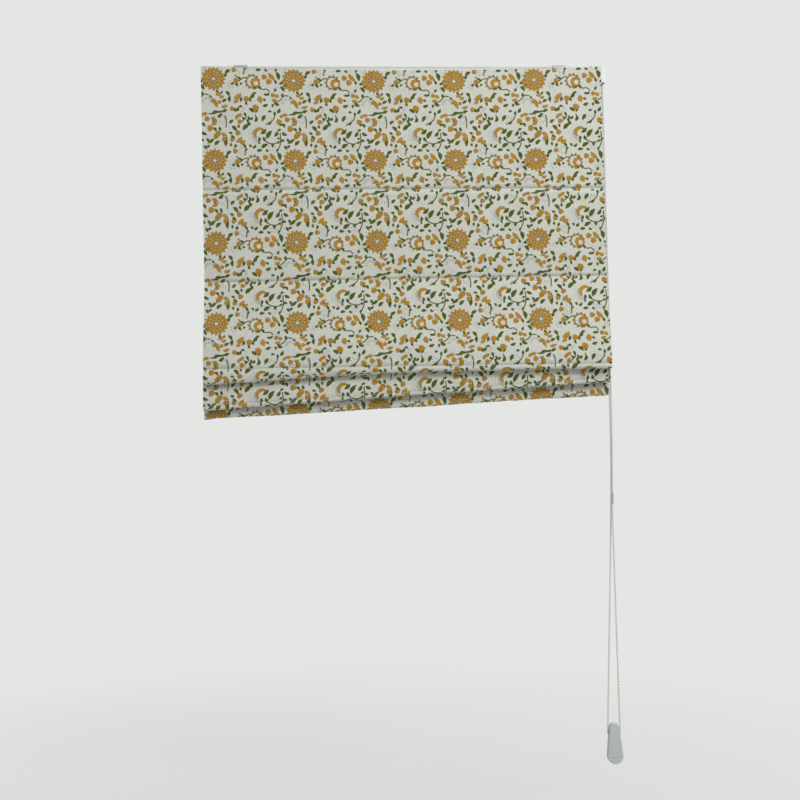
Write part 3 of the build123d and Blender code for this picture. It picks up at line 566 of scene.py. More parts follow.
# %% Panel
class Panel:
    """One panel of the cloth: its surface is a straight line from the left centre line to the right one, at
    the same share of both lengths, plus ripples along its normal."""

    def __init__(self, name, centre_line, lines, first_v, length, seed):
        """A panel between two lines, from a length down the cloth on, with its own seed for the ripples."""
        self.name, self.seed = name, seed
        self.first_v, self.length = first_v, length
        self.left, self.left_length = through(centre_line(0))
        self.right, _ = through(centre_line(1))
        self.x = [[edge_x(line, side) for line in lines] for side in (0, 1)]
        self.width = CLOTH_RIGHT - CLOTH_LEFT

    def base(self, u, v):
        """Points of the plain surface, in mm, for u across the cloth and v down it, both in mm."""
        s = np.clip((v - self.first_v) / self.length, 0, 1)
        side = (u / self.width)[..., None]
        row = s * (len(self.left) - 1)
        i = np.clip(row.astype(int), 0, len(self.left) - 2)
        f = (row - i)[..., None]
        left = self.left[i] * (1 - f) + self.left[i + 1] * f
        right = self.right[i] * (1 - f) + self.right[i + 1] * f
        yz = left * (1 - side) + right * side
        x_left = self.x[0][0] * (1 - s) + self.x[0][1] * s
        x_right = self.x[1][0] * (1 - s) + self.x[1][1] * s
        x = x_left * (1 - side[..., 0]) + x_right * side[..., 0]
        return np.stack([x, yz[..., 0], yz[..., 1]], -1)

    def ripples(self, u, v):
        """Height of the cloth above the plain surface, in mm: broad waves, puckers that fade away from the
        stitched lines and the doubled side hems. It is nothing at the lines themselves."""
        s = np.clip((v - self.first_v) / self.length, 0, 1)
        free = np.clip(np.minimum(s, 1 - s) * self.length / 14, 0, 1)
        near = np.exp(-np.minimum(s, 1 - s) * self.length / 30)
        broad = 0.9 * ripple(u, v, 190, self.seed) + 0.35 * ripple(u, v * 1.6, 60, self.seed + 1)
        pucker = 0.55 * near * ripple(u * 1.0, v * 0.15, 24, self.seed + 2)
        side_hem = 0.45 / (1 + np.exp((np.minimum(u, self.width - u) - 17) / 0.6))
        return free * (broad + pucker) + side_hem * free

    def surface(self, u, v):
        """Points and unit normals of the rippled surface, facing the room: the normal is the cross product of
        the steps down and across."""
        step = 0.6
        du = self.base(u + step, v) - self.base(u - step, v)
        low, high = np.maximum(v - step, self.first_v), np.minimum(v + step, self.first_v + self.length)
        dv = self.base(u, high) - self.base(u, low)
        normal = np.cross(dv, du)
        normal /= np.linalg.norm(normal, axis=-1, keepdims=True)
        height = self.ripples(u, v)
        point = self.base(u, v) + normal * height[..., None]
        slope_u = (self.ripples(u + 1, v) - self.ripples(u - 1, v)) / 2
        slope_v = (self.ripples(u, v + 1) - self.ripples(u, v - 1)) / 2
        across = du / np.linalg.norm(du, axis=-1, keepdims=True)
        down = dv / np.linalg.norm(dv, axis=-1, keepdims=True)
        tipped = normal - across * slope_u[..., None] - down * slope_v[..., None]
        return point, tipped / np.linalg.norm(tipped, axis=-1, keepdims=True)


# %% [markdown]
# The cut lengths
#
# The top panel is longer than the others, as it also covers the rail. The flap's length follows from its
# line.

# %% Seven panels
foot_length = through(line_6_to_foot(0))[1]
panel_list = [
    Panel("cloth_top_to_line_1", top_to_1, (0, 1), 0.0, TOP_PANEL, 11),
    Panel("cloth_line_1_to_2", line_1_to_2, (1, 2), TOP_PANEL, PANEL, 12),
    Panel("cloth_line_2_to_3", line_2_to_3, (2, 3), TOP_PANEL + PANEL, PANEL, 13),
    Panel("cloth_line_3_to_4", line_3_to_4, (3, 4), TOP_PANEL + 2 * PANEL, PANEL, 14),
    Panel("cloth_line_4_to_5", line_4_to_5, (4, 5), TOP_PANEL + 3 * PANEL, PANEL, 15),
    Panel("cloth_line_5_to_6", line_5_to_6, (5, 6), TOP_PANEL + 4 * PANEL, PANEL, 16),
    Panel("cloth_flap_and_hem", line_6_to_foot, (6, "hem"), TOP_PANEL + 5 * PANEL, foot_length, 17),
]
print("panels", [(p.name, round(p.left_length)) for p in panel_list])

# %% [markdown]
# The block print
#
# The cloth is hand-printed in the old way: one carved block for each colour, set down again and again on a
# trellis. A large rosette sits at each corner of the repeat, with buds, half-open flowers and leaf sprays
# between. Every motif is a plain outline worked out from two or three numbers. All of them are cut into the
# cloth's own mesh, so the print is fields of colour with crisp edges and no image.

# %% Motif outlines
REPEATS_ACROSS = 5
REPEAT_U, REPEAT_V = (CLOTH_RIGHT - CLOTH_LEFT) / REPEATS_ACROSS, 179.3
FIRST_ROSETTE = (27.6, 25.6)
GROUND, GREY, GREEN, OUTLINE, MUSTARD, ORANGE = range(6)
motifs = []


def ink(colour, outline):
    """Adds one outline, in mm from the rosette's middle with y down the cloth, printed over those before. Its
    points are put in the order that gives a positive area, so that all outlines turn the same way."""
    outline = np.asarray(outline, float)
    x, y = outline.T
    area = np.sum(x * np.roll(y, -1) - y * np.roll(x, -1))
    motifs.append((colour, outline if area > 0 else outline[::-1]))


def blob(x, y, r, lobes=0, depth=0.0, stretch=1.0, turn=0.0, count=10):
    """A round outline whose radius swells and shrinks: r (1 + depth cos(lobes a)), stretched along y."""
    a = np.linspace(0, 2 * np.pi, count, endpoint=False)
    radius = r * (1 + depth * np.cos(lobes * a))
    px, py = radius * np.cos(a), radius * np.sin(a) * stretch
    c, s = np.cos(turn), np.sin(turn)
    return np.stack([x + px * c - py * s, y + px * s + py * c], -1)


def spindle(x0, y0, x1, y1, width, bend=0.0, fullness=1.0, count=5):
    """A leaf or petal from its base to its tip: each side stands off the chord by a half sine of its width,
    and the whole is bent sideways by a share of its length."""
    base, tip = np.array([x0, y0], float), np.array([x1, y1], float)
    along = tip - base
    across = np.array([-along[1], along[0]])
    t = np.linspace(0, 1, count + 1)[:, None]
    middle = base + along * t + across * bend * 4 * t * (1 - t)
    unit = across / np.hypot(*across)
    side = unit * width / 2 * np.sin(np.pi * t**fullness)
    return np.vstack([middle + side, (middle - side)[1:-1][::-1]])


def ribbon(points, width):
    """A stem: a strip of even width along a line through a few points."""
    p, _ = through(points, 3 * len(points))
    d = np.gradient(p, axis=0)
    across = np.stack([-d[:, 1], d[:, 0]], -1) / np.linalg.norm(d, axis=1)[:, None] * width / 2
    return np.vstack([p + across, (p - across)[::-1]])


def arc_band(x, y, r, start, end, width, count=9):
    """Part of a ring: two arcs about one centre, between two angles in degrees, joined at their ends."""
    a = np.radians(np.linspace(start, end, count))[:, None]
    way = np.hstack([np.cos(a), np.sin(a)])
    swell = width / 2 * (0.45 + 0.55 * np.sin(np.linspace(0, np.pi, count))[:, None])
    return np.vstack([(x, y) + way * (r + swell), ((x, y) + way * (r - swell))[::-1]])


print("a leaf has", len(spindle(0, 0, 10, 0, 3)), "points")

# %% [markdown]
# Flowers and buds
#
# A flower is a few of those outlines on top of one another: first the dark one, a little larger, then the
# field of colour. What is left of the dark one shows as the drawn edge.

# %% Flowers
OUTLINE_WIDTH = 0.75


def bud(x, y, r, stretch=1.0, turn=0.0):
    """A closed bud: a mustard field in a dark ring, with a nick of dark at its heart."""
    ink(OUTLINE, blob(x, y, r + OUTLINE_WIDTH, 3, 0.1, stretch, turn))
    ink(MUSTARD, blob(x, y, r, 3, 0.1, stretch, turn))
    ink(ORANGE, blob(x - r * 0.1, y + r * 0.15, r * 0.42, 0, 0, 1, 0, 6))


def petal(x0, y0, x1, y1, width, bend=0.0):
    """A mustard petal with a dark edge."""
    d = np.array([x1 - x0, y1 - y0]) / np.hypot(x1 - x0, y1 - y0) * OUTLINE_WIDTH
    ink(OUTLINE, spindle(x0 - d[0], y0 - d[1], x1 + d[0], y1 + d[1], width + 2 * OUTLINE_WIDTH, bend, 0.9))
    ink(MUSTARD, spindle(x0, y0, x1, y1, width, bend, 0.9))


def petal_ring(x, y, inner, outer, count, width, turn=0.0):
    """Petals about a centre, each from the inner radius to the outer one."""
    for k in range(count):
        a = turn + 2 * np.pi * k / count
        c, s = np.cos(a), np.sin(a)
        petal(x + inner * c, y + inner * s, x + outer * c, y + outer * s, width)


def rosette(x, y):
    """The large flower: three rings of petals, each over the one outside it, round a pale eye."""
    petal_ring(x, y, 15.0, 26.4, 16, 6.6)
    ink(GROUND, blob(x, y, 16.2, 0, 0, 1, 0, 24))
    petal_ring(x, y, 9.0, 18.6, 13, 4.9, 0.2)
    ink(GROUND, blob(x, y, 10.2, 0, 0, 1, 0, 18))
    petal_ring(x, y, 4.4, 11.8, 9, 3.9, 0.1)
    ink(OUTLINE, blob(x, y, 4.6, 0, 0, 0.8, 0, 12))
    ink(GROUND, blob(x, y, 3.9, 0, 0, 0.72, 0, 10))


def ring_flower(x, y):
    """A flower seen half open: dark calyx ring, petals outside it, pale bowl and a crescent of mustard."""
    petal_ring(x, y, 12.0, 17.6, 11, 5.0, 0.3)
    ink(GREEN, blob(x, y, 13.6, 0, 0, 1, 0, 20))
    ink(GROUND, blob(x, y, 11.8, 0, 0, 1, 0, 18))
    ink(OUTLINE, blob(x + 6, y + 2, 10.4, 8, 0.06, 1, 0, 22))
    ink(MUSTARD, blob(x + 6, y + 2, 9.6, 8, 0.06, 1, 0, 22))
    ink(GROUND, blob(x + 8, y + 3.4, 5.0, 0, 0, 1, 0, 12))


def grey_fan(x, y, radius, start, end, count):
    """Fine grey rays about a point, each a thin spindle, with a dot beyond its end."""
    for a in np.radians(np.linspace(start, end, count)):
        c, s = np.cos(a), np.sin(a)
        near, far, dot = ((x + share * radius * c, y + share * radius * s) for share in (0.45, 1.0, 1.18))
        ink(GREY, spindle(*near, *far, 1.5, 0, 1, 3))
        ink(GREY, blob(*dot, 0.95, 0, 0, 1, 0, 5))


def crescent_flower(x, y, r, start, end, width):
    """A flower seen from the side: a thick mustard crescent with a dark edge. Its fan of fine rays is drawn
    separately by grey_fan.
    """
    ink(OUTLINE, arc_band(x, y, r, start - 6, end + 6, width + 2 * OUTLINE_WIDTH))
    ink(MUSTARD, arc_band(x, y, r, start, end, width))


print("an arc has", len(arc_band(0, 0, 5, 0, 90, 2)), "points")

# %% [markdown]
# The repeat
#
# One repeat is a table of places, in millimetres from the middle of the large flower: stems by a few points,
# leaves and petals by base and tip, buds by middle and radius. The grey drawing is printed first.

# %% The repeat
stems = [
    [(99.5, 16), (106, 20.6), (116.4, 20.4), (123, 27)],
    [(138.5, 49), (147.6, 42), (154, 34.5), (164.5, 35)], [(133, 75.6), (130.7, 85.7), (112.5, 100)],
    [(143.7, 117), (144.5, 140), (136, 161)],
    [(106, 133), (121.6, 141), (133, 141.6), (141, 137), (151.5, 136)], [(-7, 78), (7, 72), (25.4, 69)],
    [(22.8, 79), (26, 89), (25.4, 107)], [(163, 77), (193, 72)], [(68.3, 150), (66, 168)],
    [(47.5, 169), (52.7, 175.4), (60.5, 177.6)], [(78, 47), (80, 40), (86, 31)],
    [(55, 4), (63, -3), (70, -6)], [(133, 44), (137, 50), (143, 55)], [(45, 70), (41, 64), (38, 60)],
    [(25, 122), (27, 133), (26, 143)], [(62, 92), (70, 82), (68, 75)], [(88, 93), (92, 84), (90, 77)],
    [(160, 141), (168, 139), (176, 130)],
]
leaves = [
    (49, 5, 54, 16), (44, 6, 37, 12), (63, 7, 57, 12), (133, -1, 137, 9), (143, 8, 153, 2),
    (146, 13, 155, 26), (152, 14, 161, 7), (26, 26, 35, 38), (35, 36, 35, 51), (5, 24, 9, 33),
    (19, 26, 17, 33), (18, 51, 29, 44), (80, 42, 88, 27), (85, 33, 94, 28), (79, 41, 82, 49),
    (107, 42, 114, 47), (70, 48, 73, 57), (133, 26, 138, 18), (109, 32, 119, 31), (121, 28, 116, 35),
    (48, 70, 55, 60), (54, 60, 63, 60), (106, 58, 119, 53), (128, 52, 128, 61), (132, 48, 143, 57),
    (118, 71, 127, 70), (138, 74, 145, 62), (134, 79, 133, 69), (113, 78, 105, 93), (66, 72, 68, 82),
    (60, 83, 69, 87), (70, 88, 76, 94), (76, 90, 74, 80), (84, 82, 78, 90), (91, 94, 92, 80),
    (76, 63, 88, 73), (96, 64, 91, 74), (62, 112, 78, 98), (79, 102, 71, 92), (33, 98, 43, 89),
    (53, 99, 55, 108), (38, 102, 49, 115), (101, 120, 114, 108), (98, 126, 97, 138), (97, 136, 99, 143),
    (114, 131, 127, 112), (131, 126, 139, 113), (138, 113, 147, 110), (147, 116, 160, 123),
    (143, 128, 136, 131), (107, 126, 113, 137), (144, 134, 154, 136), (141, 142, 137, 136),
    (102, 152, 118, 142), (83, 152, 91, 144), (76, 143, 80, 151), (129, 140, 127, 151), (92, 158, 105, 157),
    (112, 154, 119, 160), (138, 160, 143, 180), (134, 158, 140, 152), (152, 146, 158, 156),
    (158, 151, 165, 144), (148, 96, 155, 106), (141, 97, 150, 100), (171, 78, 185, 70), (6, 84, 18, 74),
    (18, 73, 30, 67), (11, 104, 15, 115), (0, 146, 12, 135), (27, 132, 25, 149), (31, 117, 40, 121),
    (36, 123, 46, 130), (47, 142, 43, 152), (36, 140, 37, 149), (62, 143, 69, 152), (37, 158, 25, 168),
    (27, 165, 24, 176), (166, 36, 172, 42), (150, 38, 152, 28), (44, 62, 49, 72), (158, 130, 163, 140),
    (163, 141, 172, 130), (174, 106, 180, 116), (116, 98, 126, 93), (60, 38, 57, 50), (59, 180, 52, 173),
    (68, 158, 72, 152), (88, 20, 95, 15), (98, 12, 102, 22),
]
buds = [
    (49, 2.5, 4.4), (121, 3.4, 4.8), (71.5, 42.8, 5.0), (91, 62, 5.6), (39.7, 65, 3.9), (12.4, 50.7, 3.0),
    (51.4, 118, 4.4), (39, 133, 3.8), (3.3, 125.8, 4.4), (21.5, 132, 4.2), (44.9, 158.5, 3.9),
    (111, -7, 4.6), (141.7, 92.5, 4.6), (160, 88, 4.2), (55.9, 93, 4.0), (129.5, 33, 3.6),
    (166.4, 108.6, 5.2), (183, 121, 4.6),
]
petals = [
    (12, 40, 22, 37, 4.2), (2, 44, 9, 63, 5.2), (16, 61, 30, 57, 4.6), (43, 52, 53, 42, 5.0),
    (44, 42, 60, 30, 6.4), (48, 139, 60, 127, 6.0), (56, 142, 67, 135, 6.4), (121, -16, 136, 0, 6.2),
    (48, 88, 49, 79, 4.6), (50, 80, 61, 76, 5.0), (127, 45, 138, 43, 5.0), (136, 32, 142, 38, 5.4),
    (144, 83, 151, 76, 4.6), (151, 77, 161, 76, 5.0), (175, 83, 179, 101, 5.4), (6, 115, 14, 120, 5.6),
    (16, 118, 26, 124, 5.6), (174, 46, 184, 54, 5.4), (180, 35, 192, 30, 5.4), (170, 52, 174, 42, 4.6),
    (100, 36, 104, 51, 8.0),
]
for fan_x, fan_y, fan_radius, fan_start, fan_end, rays in (
    (97, 122, 19, 95, 215, 11), (160, 52, 13, 180, 360, 9), (17, 88, 9, 0, 330, 9), (58, 66, 8, 0, 330, 8),
    (60, 158, 9, 20, 340, 8), (49, 33, 15, 20, 90, 5), (178, 90, 10, 100, 260, 6), (140, 20, 8, 150, 330, 5),
    (38, 12, 7, 0, 320, 7), (120, 88, 7, 0, 320, 6), (125, 150, 7, 0, 320, 6), (160, 165, 8, 0, 320, 7),
):
    grey_fan(fan_x, fan_y, fan_radius, fan_start, fan_end, rays)
for stem in stems:
    ink(GREEN, ribbon(stem, 2.5))
for number, (x0, y0, x1, y1) in enumerate(leaves):
    leaf_length = np.hypot(x1 - x0, y1 - y0)
    ink(GREEN, spindle(x0, y0, x1, y1, 2.9 + 0.31 * leaf_length, (0.09, -0.09)[number % 2], 0.85))
for x0, y0, x1, y1, petal_width in petals:
    petal(x0, y0, x1, y1, petal_width * 1.3, 0.08)
for x, y, r in buds:
    bud(x, y, r * 1.15)
crescent_flower(100, 120, 11.5, 140, 305, 6.4)
crescent_flower(-6, 93, 7.5, -90, 90, 5.0)
crescent_flower(171, 93, 7.5, -90, 90, 5.0)
ring_flower(85, 4)
rosette(0, 0)
print("outlines in one repeat:", len(motifs), "with", sum(len(o) for _, o in motifs), "points")


# %% [markdown]
# Cutting the print into the cloth
#
# A panel is cut in its flat state. Its grid points and every outline that falls on one repeat's width of it
# go to a constrained Delaunay triangulation, which returns triangles that respect all the edges. Each
# triangle takes the colour of the outline that was printed last over it. That strip is laid down five times
# side by side, as the blocks were, and its corners are then carried to the hanging surface.

# %% Cut a panel
def print_on(low, high):
    """Outlines that reach a strip one repeat wide between two lengths down the cloth, in printing order."""
    found = []
    for colour, outline in motifs:
        for row in range(int(np.floor(low / REPEAT_V)) - 2, int(high / REPEAT_V) + 2):
            for column in (-2, -1, 0, 1):
                moved = outline + (FIRST_ROSETTE[0] + column * REPEAT_U, FIRST_ROSETTE[1] + row * REPEAT_V)
                inside = moved[:, 1].max() > low and moved[:, 1].min() < high
                if inside and moved[:, 0].max() > 0 and moved[:, 0].min() < REPEAT_U:
                    found.append((colour, moved))
    return found


def panel_rows(panel, low, high):
    """Places of the rows of points between two lengths down the cloth: even steps in the sum of length and
    turning, so that rows crowd where the cloth is rolled."""
    turning = 0
    for line in (panel.left, panel.right):
        d = np.diff(line, axis=0)
        angle = np.unwrap(np.arctan2(d[:, 1], d[:, 0]))
        turning = turning + np.abs(np.diff(angle))
    weight = np.concatenate([[0], np.cumsum(turning / 2 * 26 + panel.length / len(turning) / 6.0)])
    share = np.linspace(0, 1, len(weight))
    rows = np.interp(np.linspace(0, weight[-1], int(weight[-1]) + 2), weight, share)
    rows = panel.first_v + rows * panel.length
    return np.concatenate([[low], rows[(rows > low + 0.7) & (rows < high - 0.7)], [high]])


print("rows on the roll at rod 3:", len(panel_rows(panel_list[3], 664.0, 861.0)))

# %% [markdown]
# From one strip to a panel
#
# The strip's border is walked in order for its plain back. The strips are then laid side by side, and
# points that fall on one another become one.

# %% Strips and panels
def border_ring(flat, width, first, last):
    """Indices of the points on a strip's border, in order round it."""
    near = 2e-3
    sides = [
        (flat[:, 1] < first + near, flat[:, 0]), (flat[:, 0] > width - near, flat[:, 1]),
        (flat[:, 1] > last - near, -flat[:, 0]), (flat[:, 0] < near, -flat[:, 1]),
    ]
    return np.concatenate([np.flatnonzero(test)[np.argsort(place[test])][:-1] for test, place in sides])


def side_by_side(flat, triangles):
    """A strip's points and triangles laid down once for each repeat, with shared points merged."""
    shifts = np.arange(REPEATS_ACROSS)
    strips = (flat[None] + np.stack([shifts * REPEAT_U, 0 * shifts], -1)[:, None]).reshape(-1, 2)
    triangles = (triangles[None] + shifts[:, None, None] * len(flat)).reshape(-1, 3)
    _, first, merged = np.unique(np.round(strips, 2), axis=0, return_index=True, return_inverse=True)
    return strips[first], merged.ravel()[triangles]


def turned_and_real(flat, triangles):
    """The triangles turned one way round, and which of them have an area at all."""
    a, b, c = flat[triangles[:, 0]], flat[triangles[:, 1]], flat[triangles[:, 2]]
    area = (b[:, 0] - a[:, 0]) * (c[:, 1] - a[:, 1]) - (b[:, 1] - a[:, 1]) * (c[:, 0] - a[:, 0])
    return np.where((area > 0)[:, None], triangles[:, ::-1], triangles), np.abs(area) > 1e-4


def cut_panel(panel, low, high):
    """Flat points of a panel between two lengths, the triangles of its printed front with their colours, and
    those of its plain back, which keeps only the points of the grid and the border."""
    rows = panel_rows(panel, low, high)
    across = np.linspace(0, REPEAT_U, 15)
    border = np.vstack([
        np.stack([across, np.full(len(across), rows[0])], -1),
        np.stack([np.full(len(rows) - 1, REPEAT_U), rows[1:]], -1),
        np.stack([across[::-1][1:], np.full(len(across) - 1, rows[-1])], -1),
        np.stack([np.zeros(len(rows) - 2), rows[1:-1][::-1]], -1),
    ])
    u, v = np.meshgrid(across[1:-1], rows[1:-1])
    outlines = [(GROUND, border)] + print_on(low, high)
    points = np.vstack([o for _, o in outlines] + [np.stack([u.ravel(), v.ravel()], -1)])
    ends = np.cumsum([len(o) for _, o in outlines])
    faces = [list(range(end - len(o), end)) for end, (_, o) in zip(ends, outlines)]
    flat, _, triangles, _, _, owners = delaunay_2d_cdt(
        [Vector(p) for p in points], [], faces, 0, 1e-4, True)
    kept = [(t, max(o)) for t, o in zip(triangles, owners) if o and min(o) == 0]
    colours = np.array([outlines[last][0] for _, last in kept])
    used, index = np.unique([t for t, _ in kept], return_inverse=True)
    front = index.reshape(-1, 3)
    flat = np.array([tuple(point) for point in flat])[used]
    ring = border_ring(flat, REPEAT_U, rows[0], rows[-1])
    on_grid = (np.abs(flat[:, :1] - across).min(1) < 2e-3) & (np.abs(flat[:, 1:] - rows).min(1) < 2e-3)
    on_grid[ring] = False
    plain = np.concatenate([ring, np.flatnonzero(on_grid)])
    spots, _, back, _, _, owners = delaunay_2d_cdt(
        [Vector(p) for p in flat[plain]], [], [list(range(len(ring)))], 0, 1e-4, True)
    spots = np.array([tuple(point) for point in spots])
    source = plain[np.linalg.norm(spots[:, None] - flat[plain][None], axis=-1).argmin(1)]
    back = source[np.array([t for t, o in zip(back, owners) if o])]
    whole, front = side_by_side(flat, front)
    _, back = side_by_side(flat, back)
    front, front_real = turned_and_real(whole, front)
    back, back_real = turned_and_real(whole, back)
    front, back, colours = front[front_real], back[back_real], np.tile(colours, REPEATS_ACROSS)[front_real]
    return whole, front, colours, back


print("border of a square:", border_ring(np.array([[0, 0], [1, 0], [1, 1], [0, 1.0]]), 1, 0, 1))

# %% [markdown]
# Thickness
#
# The cut panel is carried to its hanging surface twice, half a millimetre in front of it and half behind. A
# rim of narrow faces joins the two along the cut edge.

# %% Sheet with its thickness
def sheet_from(panel, materials, lining, sag=0.0, part=(0.0, 1.0), name=None, printed_side=1):
    """A panel, or a part of it, with its thickness: the front with the print, the plain back, and a rim. The
    sag draws the panel's top edge down in the middle. A printed side of -1 puts the print on the inside."""
    low, high = panel.first_v + part[0] * panel.length, panel.first_v + part[1] * panel.length
    flat, front, colours, back = cut_panel(panel, low, high)
    share = flat[:, 0] / panel.width
    drop = sag * 4 * share * (1 - share) * (1 - (flat[:, 1] - panel.first_v) / panel.length)
    middle, normal = panel.surface(flat[:, 0], flat[:, 1] + drop)
    if printed_side < 0:
        normal, front, back = -normal, front[:, ::-1], back[:, ::-1]
    half = CLOTH_THICKNESS / 2
    middle = middle * MM
    count = len(flat)
    directed = np.concatenate([front[:, [0, 1]], front[:, [1, 2]], front[:, [2, 0]]])
    _, first, times = np.unique(np.sort(directed, axis=1), axis=0, return_index=True, return_counts=True)
    rim = directed[first[times == 1]]
    sides = np.stack([flat[:, 0], panel.width - flat[:, 0], flat[:, 1] - low, high - flat[:, 1]])
    rim = rim[(np.maximum(sides[:, rim[:, 0]], sides[:, rim[:, 1]]) < 0.02).any(0)]
    faces = front.tolist() + (back[:, ::-1] + count).tolist()
    faces += np.stack([rim[:, 1], rim[:, 0], rim[:, 0] + count, rim[:, 1] + count], -1).tolist()
    tints = np.concatenate([colours, np.full(len(back), len(materials)), np.zeros(len(rim), int)])
    points = np.vstack([middle + normal * half, middle - normal * half])
    used, index = np.unique(np.concatenate([np.ravel(face) for face in faces]), return_inverse=True)
    ends = np.cumsum([len(face) for face in faces])
    faces = [index[end - len(face):end].tolist() for end, face in zip(ends, faces)]
    print(name or panel.name, len(front), "triangles in front,", len(back), "behind")
    return new_mesh(name or panel.name, points[used], faces, materials + [lining], tints,
                    np.vstack([normal, -normal])[used], np.vstack([flat, flat])[used] * MM)


# %% [markdown]
# Cotton
#
# The cloth is a plain weave of slubby cotton, about 20 threads to the centimetre. The inks soak in, so the
# weave shows through every colour and each field is a little uneven, as blocks print. The back is plain,
# for the inks stay on the face. The weave is drawn 1.1 mm wide, twice its real width, so that it shows at
# this distance.

# %% Cotton finishes
THREAD_WAVE = 0.314 / (1.1 * MM)


def cotton(name, colour, shade, patchy):
    """Printed plain-weave cotton: two crossed waves make the weave, and noise makes the slubs and the uneven
    ink. Matt, with the fine sheen of fibre ends."""
    material, shader = new_material(name, {"Roughness": 0.9, "Sheen Weight": 0.25, "Sheen Roughness": 0.5,
                                           "Specular IOR Level": 0.2})
    place = add_node(material, "ShaderNodeUVMap", {"uv_map": "cloth"})
    patches = add_node(material, "ShaderNodeTexNoise", {"Scale": 95.0, "Detail": 5.0, "Roughness": 0.65},
                       {"Vector": (place, "UV")})
    ramp = colour_ramp(material, patches, "Fac", [(0.5 - patchy, shade), (0.5 + patchy, colour)])
    threads = []
    for direction in ("X", "Y"):
        threads.append(add_node(material, "ShaderNodeTexWave",
                                {"Scale": THREAD_WAVE, "Distortion": 2.0, "Detail": 1.0, "Detail Scale": 0.4,
                                 "bands_direction": direction}, {"Vector": (place, "UV")}))
    weave = add_node(material, "ShaderNodeMath", {"operation": "MULTIPLY"})
    for slot_number, thread in enumerate(threads):
        material.node_tree.links.new(thread.outputs["Fac"], weave.inputs[slot_number])
    shadow = colour_ramp(material, weave, "Value", [(0.0, "#DADADA"), (0.5, "#FFFFFF")])
    mixed = add_node(material, "ShaderNodeMix", {"data_type": "RGBA", "blend_type": "MULTIPLY"})
    mixed.inputs[0].default_value = 0.8
    material.node_tree.links.new(ramp.outputs["Color"], mixed.inputs[6])
    material.node_tree.links.new(shadow.outputs["Color"], mixed.inputs[7])
    material.node_tree.links.new(mixed.outputs[2], shader.inputs["Base Color"])
    bump = add_node(material, "ShaderNodeBump", {"Strength": 0.5, "Distance": 0.0004},
                    {"Height": (weave, "Value")})
    slubs = add_node(material, "ShaderNodeBump", {"Strength": 0.25, "Distance": 0.001},
                     {"Height": (patches, "Fac"), "Normal": (bump, "Normal")})
    material.node_tree.links.new(slubs.outputs["Normal"], shader.inputs["Normal"])
    return material


face_materials = [
    cotton("cotton_unbleached", "#EFEFE4", "#E1E1D3", 0.3),
    cotton("cotton_grey_ink", "#8C908C", "#A5A79F", 0.25),
    cotton("cotton_olive_ink", "#4F5C0A", "#616D20", 0.22),
    cotton("cotton_brown_ink", "#5E480E", "#735F24", 0.25),
    cotton("cotton_mustard_ink", "#C78F14", "#CE9C30", 0.22),
    cotton("cotton_orange_ink", "#BC7512", "#C28426", 0.22),
]
lining = cotton("cotton_plain_back", "#DEDDD0", "#D0CEBE", 0.3)
print("inks:", [material.name for material in face_materials])


# %% [markdown]
# The seven panels
#
# A panel lies between two rods, and the table of joins names both for each panel, but here each panel is only
# baked in place. The flap below the last rod goes with the bottom bar. Two panels run upwards behind a roll,
# where no side of them is seen. They carry the print on the side that comes to the front when the blind is
# let down.

# %% Panels in place
ROLL_3, ROLL_5 = 0.17, 0.06
top, first, second, third, fourth, fifth, foot = panel_list
panels = [
    (sheet_from(top, face_materials, lining, TOP_SAG), top, 1.0, "hung"),
    (sheet_from(first, face_materials, lining), first, 1.0, "hung"),
    (sheet_from(second, face_materials, lining), second, 1.0, "hung"),
    (sheet_from(third, face_materials, lining, part=(0, ROLL_3), name="cloth_roll_3"),
     third, ROLL_3, "folded"),
    (sheet_from(third, face_materials, lining, part=(ROLL_3, 1), printed_side=-1),
     third, 1 - ROLL_3, "folded"),
    (sheet_from(fourth, face_materials, lining), fourth, 1.0, "folded"),
    (sheet_from(fifth, face_materials, lining, part=(0, ROLL_5), name="cloth_roll_5"),
     fifth, ROLL_5, "folded"),
    (sheet_from(fifth, face_materials, lining, part=(ROLL_5, 1), printed_side=-1),
     fifth, 1 - ROLL_5, "folded"),
    (sheet_from(foot, face_materials, lining), foot, 1.0, "hung"),
]
rod_3_to_4 = ("rod_3", "middle_stack", (0, -640), (-4.3, -544))
rod_5_to_6 = ("rod_5", "bottom_stack", (0, -700), (-10, -560))
panel_joins = [
    ("headrail", "rod_1", (0, -36), (0, -262)),
    ("rod_1", "upper_stack", (0, -288), (2, -456)),
    ("upper_stack", "rod_3", (0, -488), (2.5, -648)),
    rod_3_to_4, rod_3_to_4,
    ("middle_stack", "rod_5", (0, -545), (11.5, -705)),
    rod_5_to_6, rod_5_to_6,
]
for (piece, _, _, _), (above, below, start, end) in zip(panels, panel_joins):
    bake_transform(piece)
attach(panels[-1][0], "bottom_stack")
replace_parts(panels[0][0], "face_cloth")
print("cloth triangles", [len(panel[0].data.polygons) for panel in panels])

# %% [markdown]
# Rod pockets
#
# On the back, each rod lies in a narrow sleeve of the same cotton, stitched through the face. A sleeve is a
# tube inside a tube, joined at both ends, and its wall swells and narrows a little.

# %% Pockets
POCKET_RADIUS, POCKET_BORE, POCKET_GIRTH = 3.35, 2.35, 21


def rod_line(line, count):
    """Points along a rod line from the cloth's left edge to its right edge, in mm."""
    share = np.linspace(0, 1, count)
    x = edge_x(line, 0) * (1 - share) + edge_x(line, 1) * share
    z = line_z(line, 0) * (1 - share) + line_z(line, 1) * share
    return np.stack([x, np.full(count, LINE_Y[line]), z], -1)


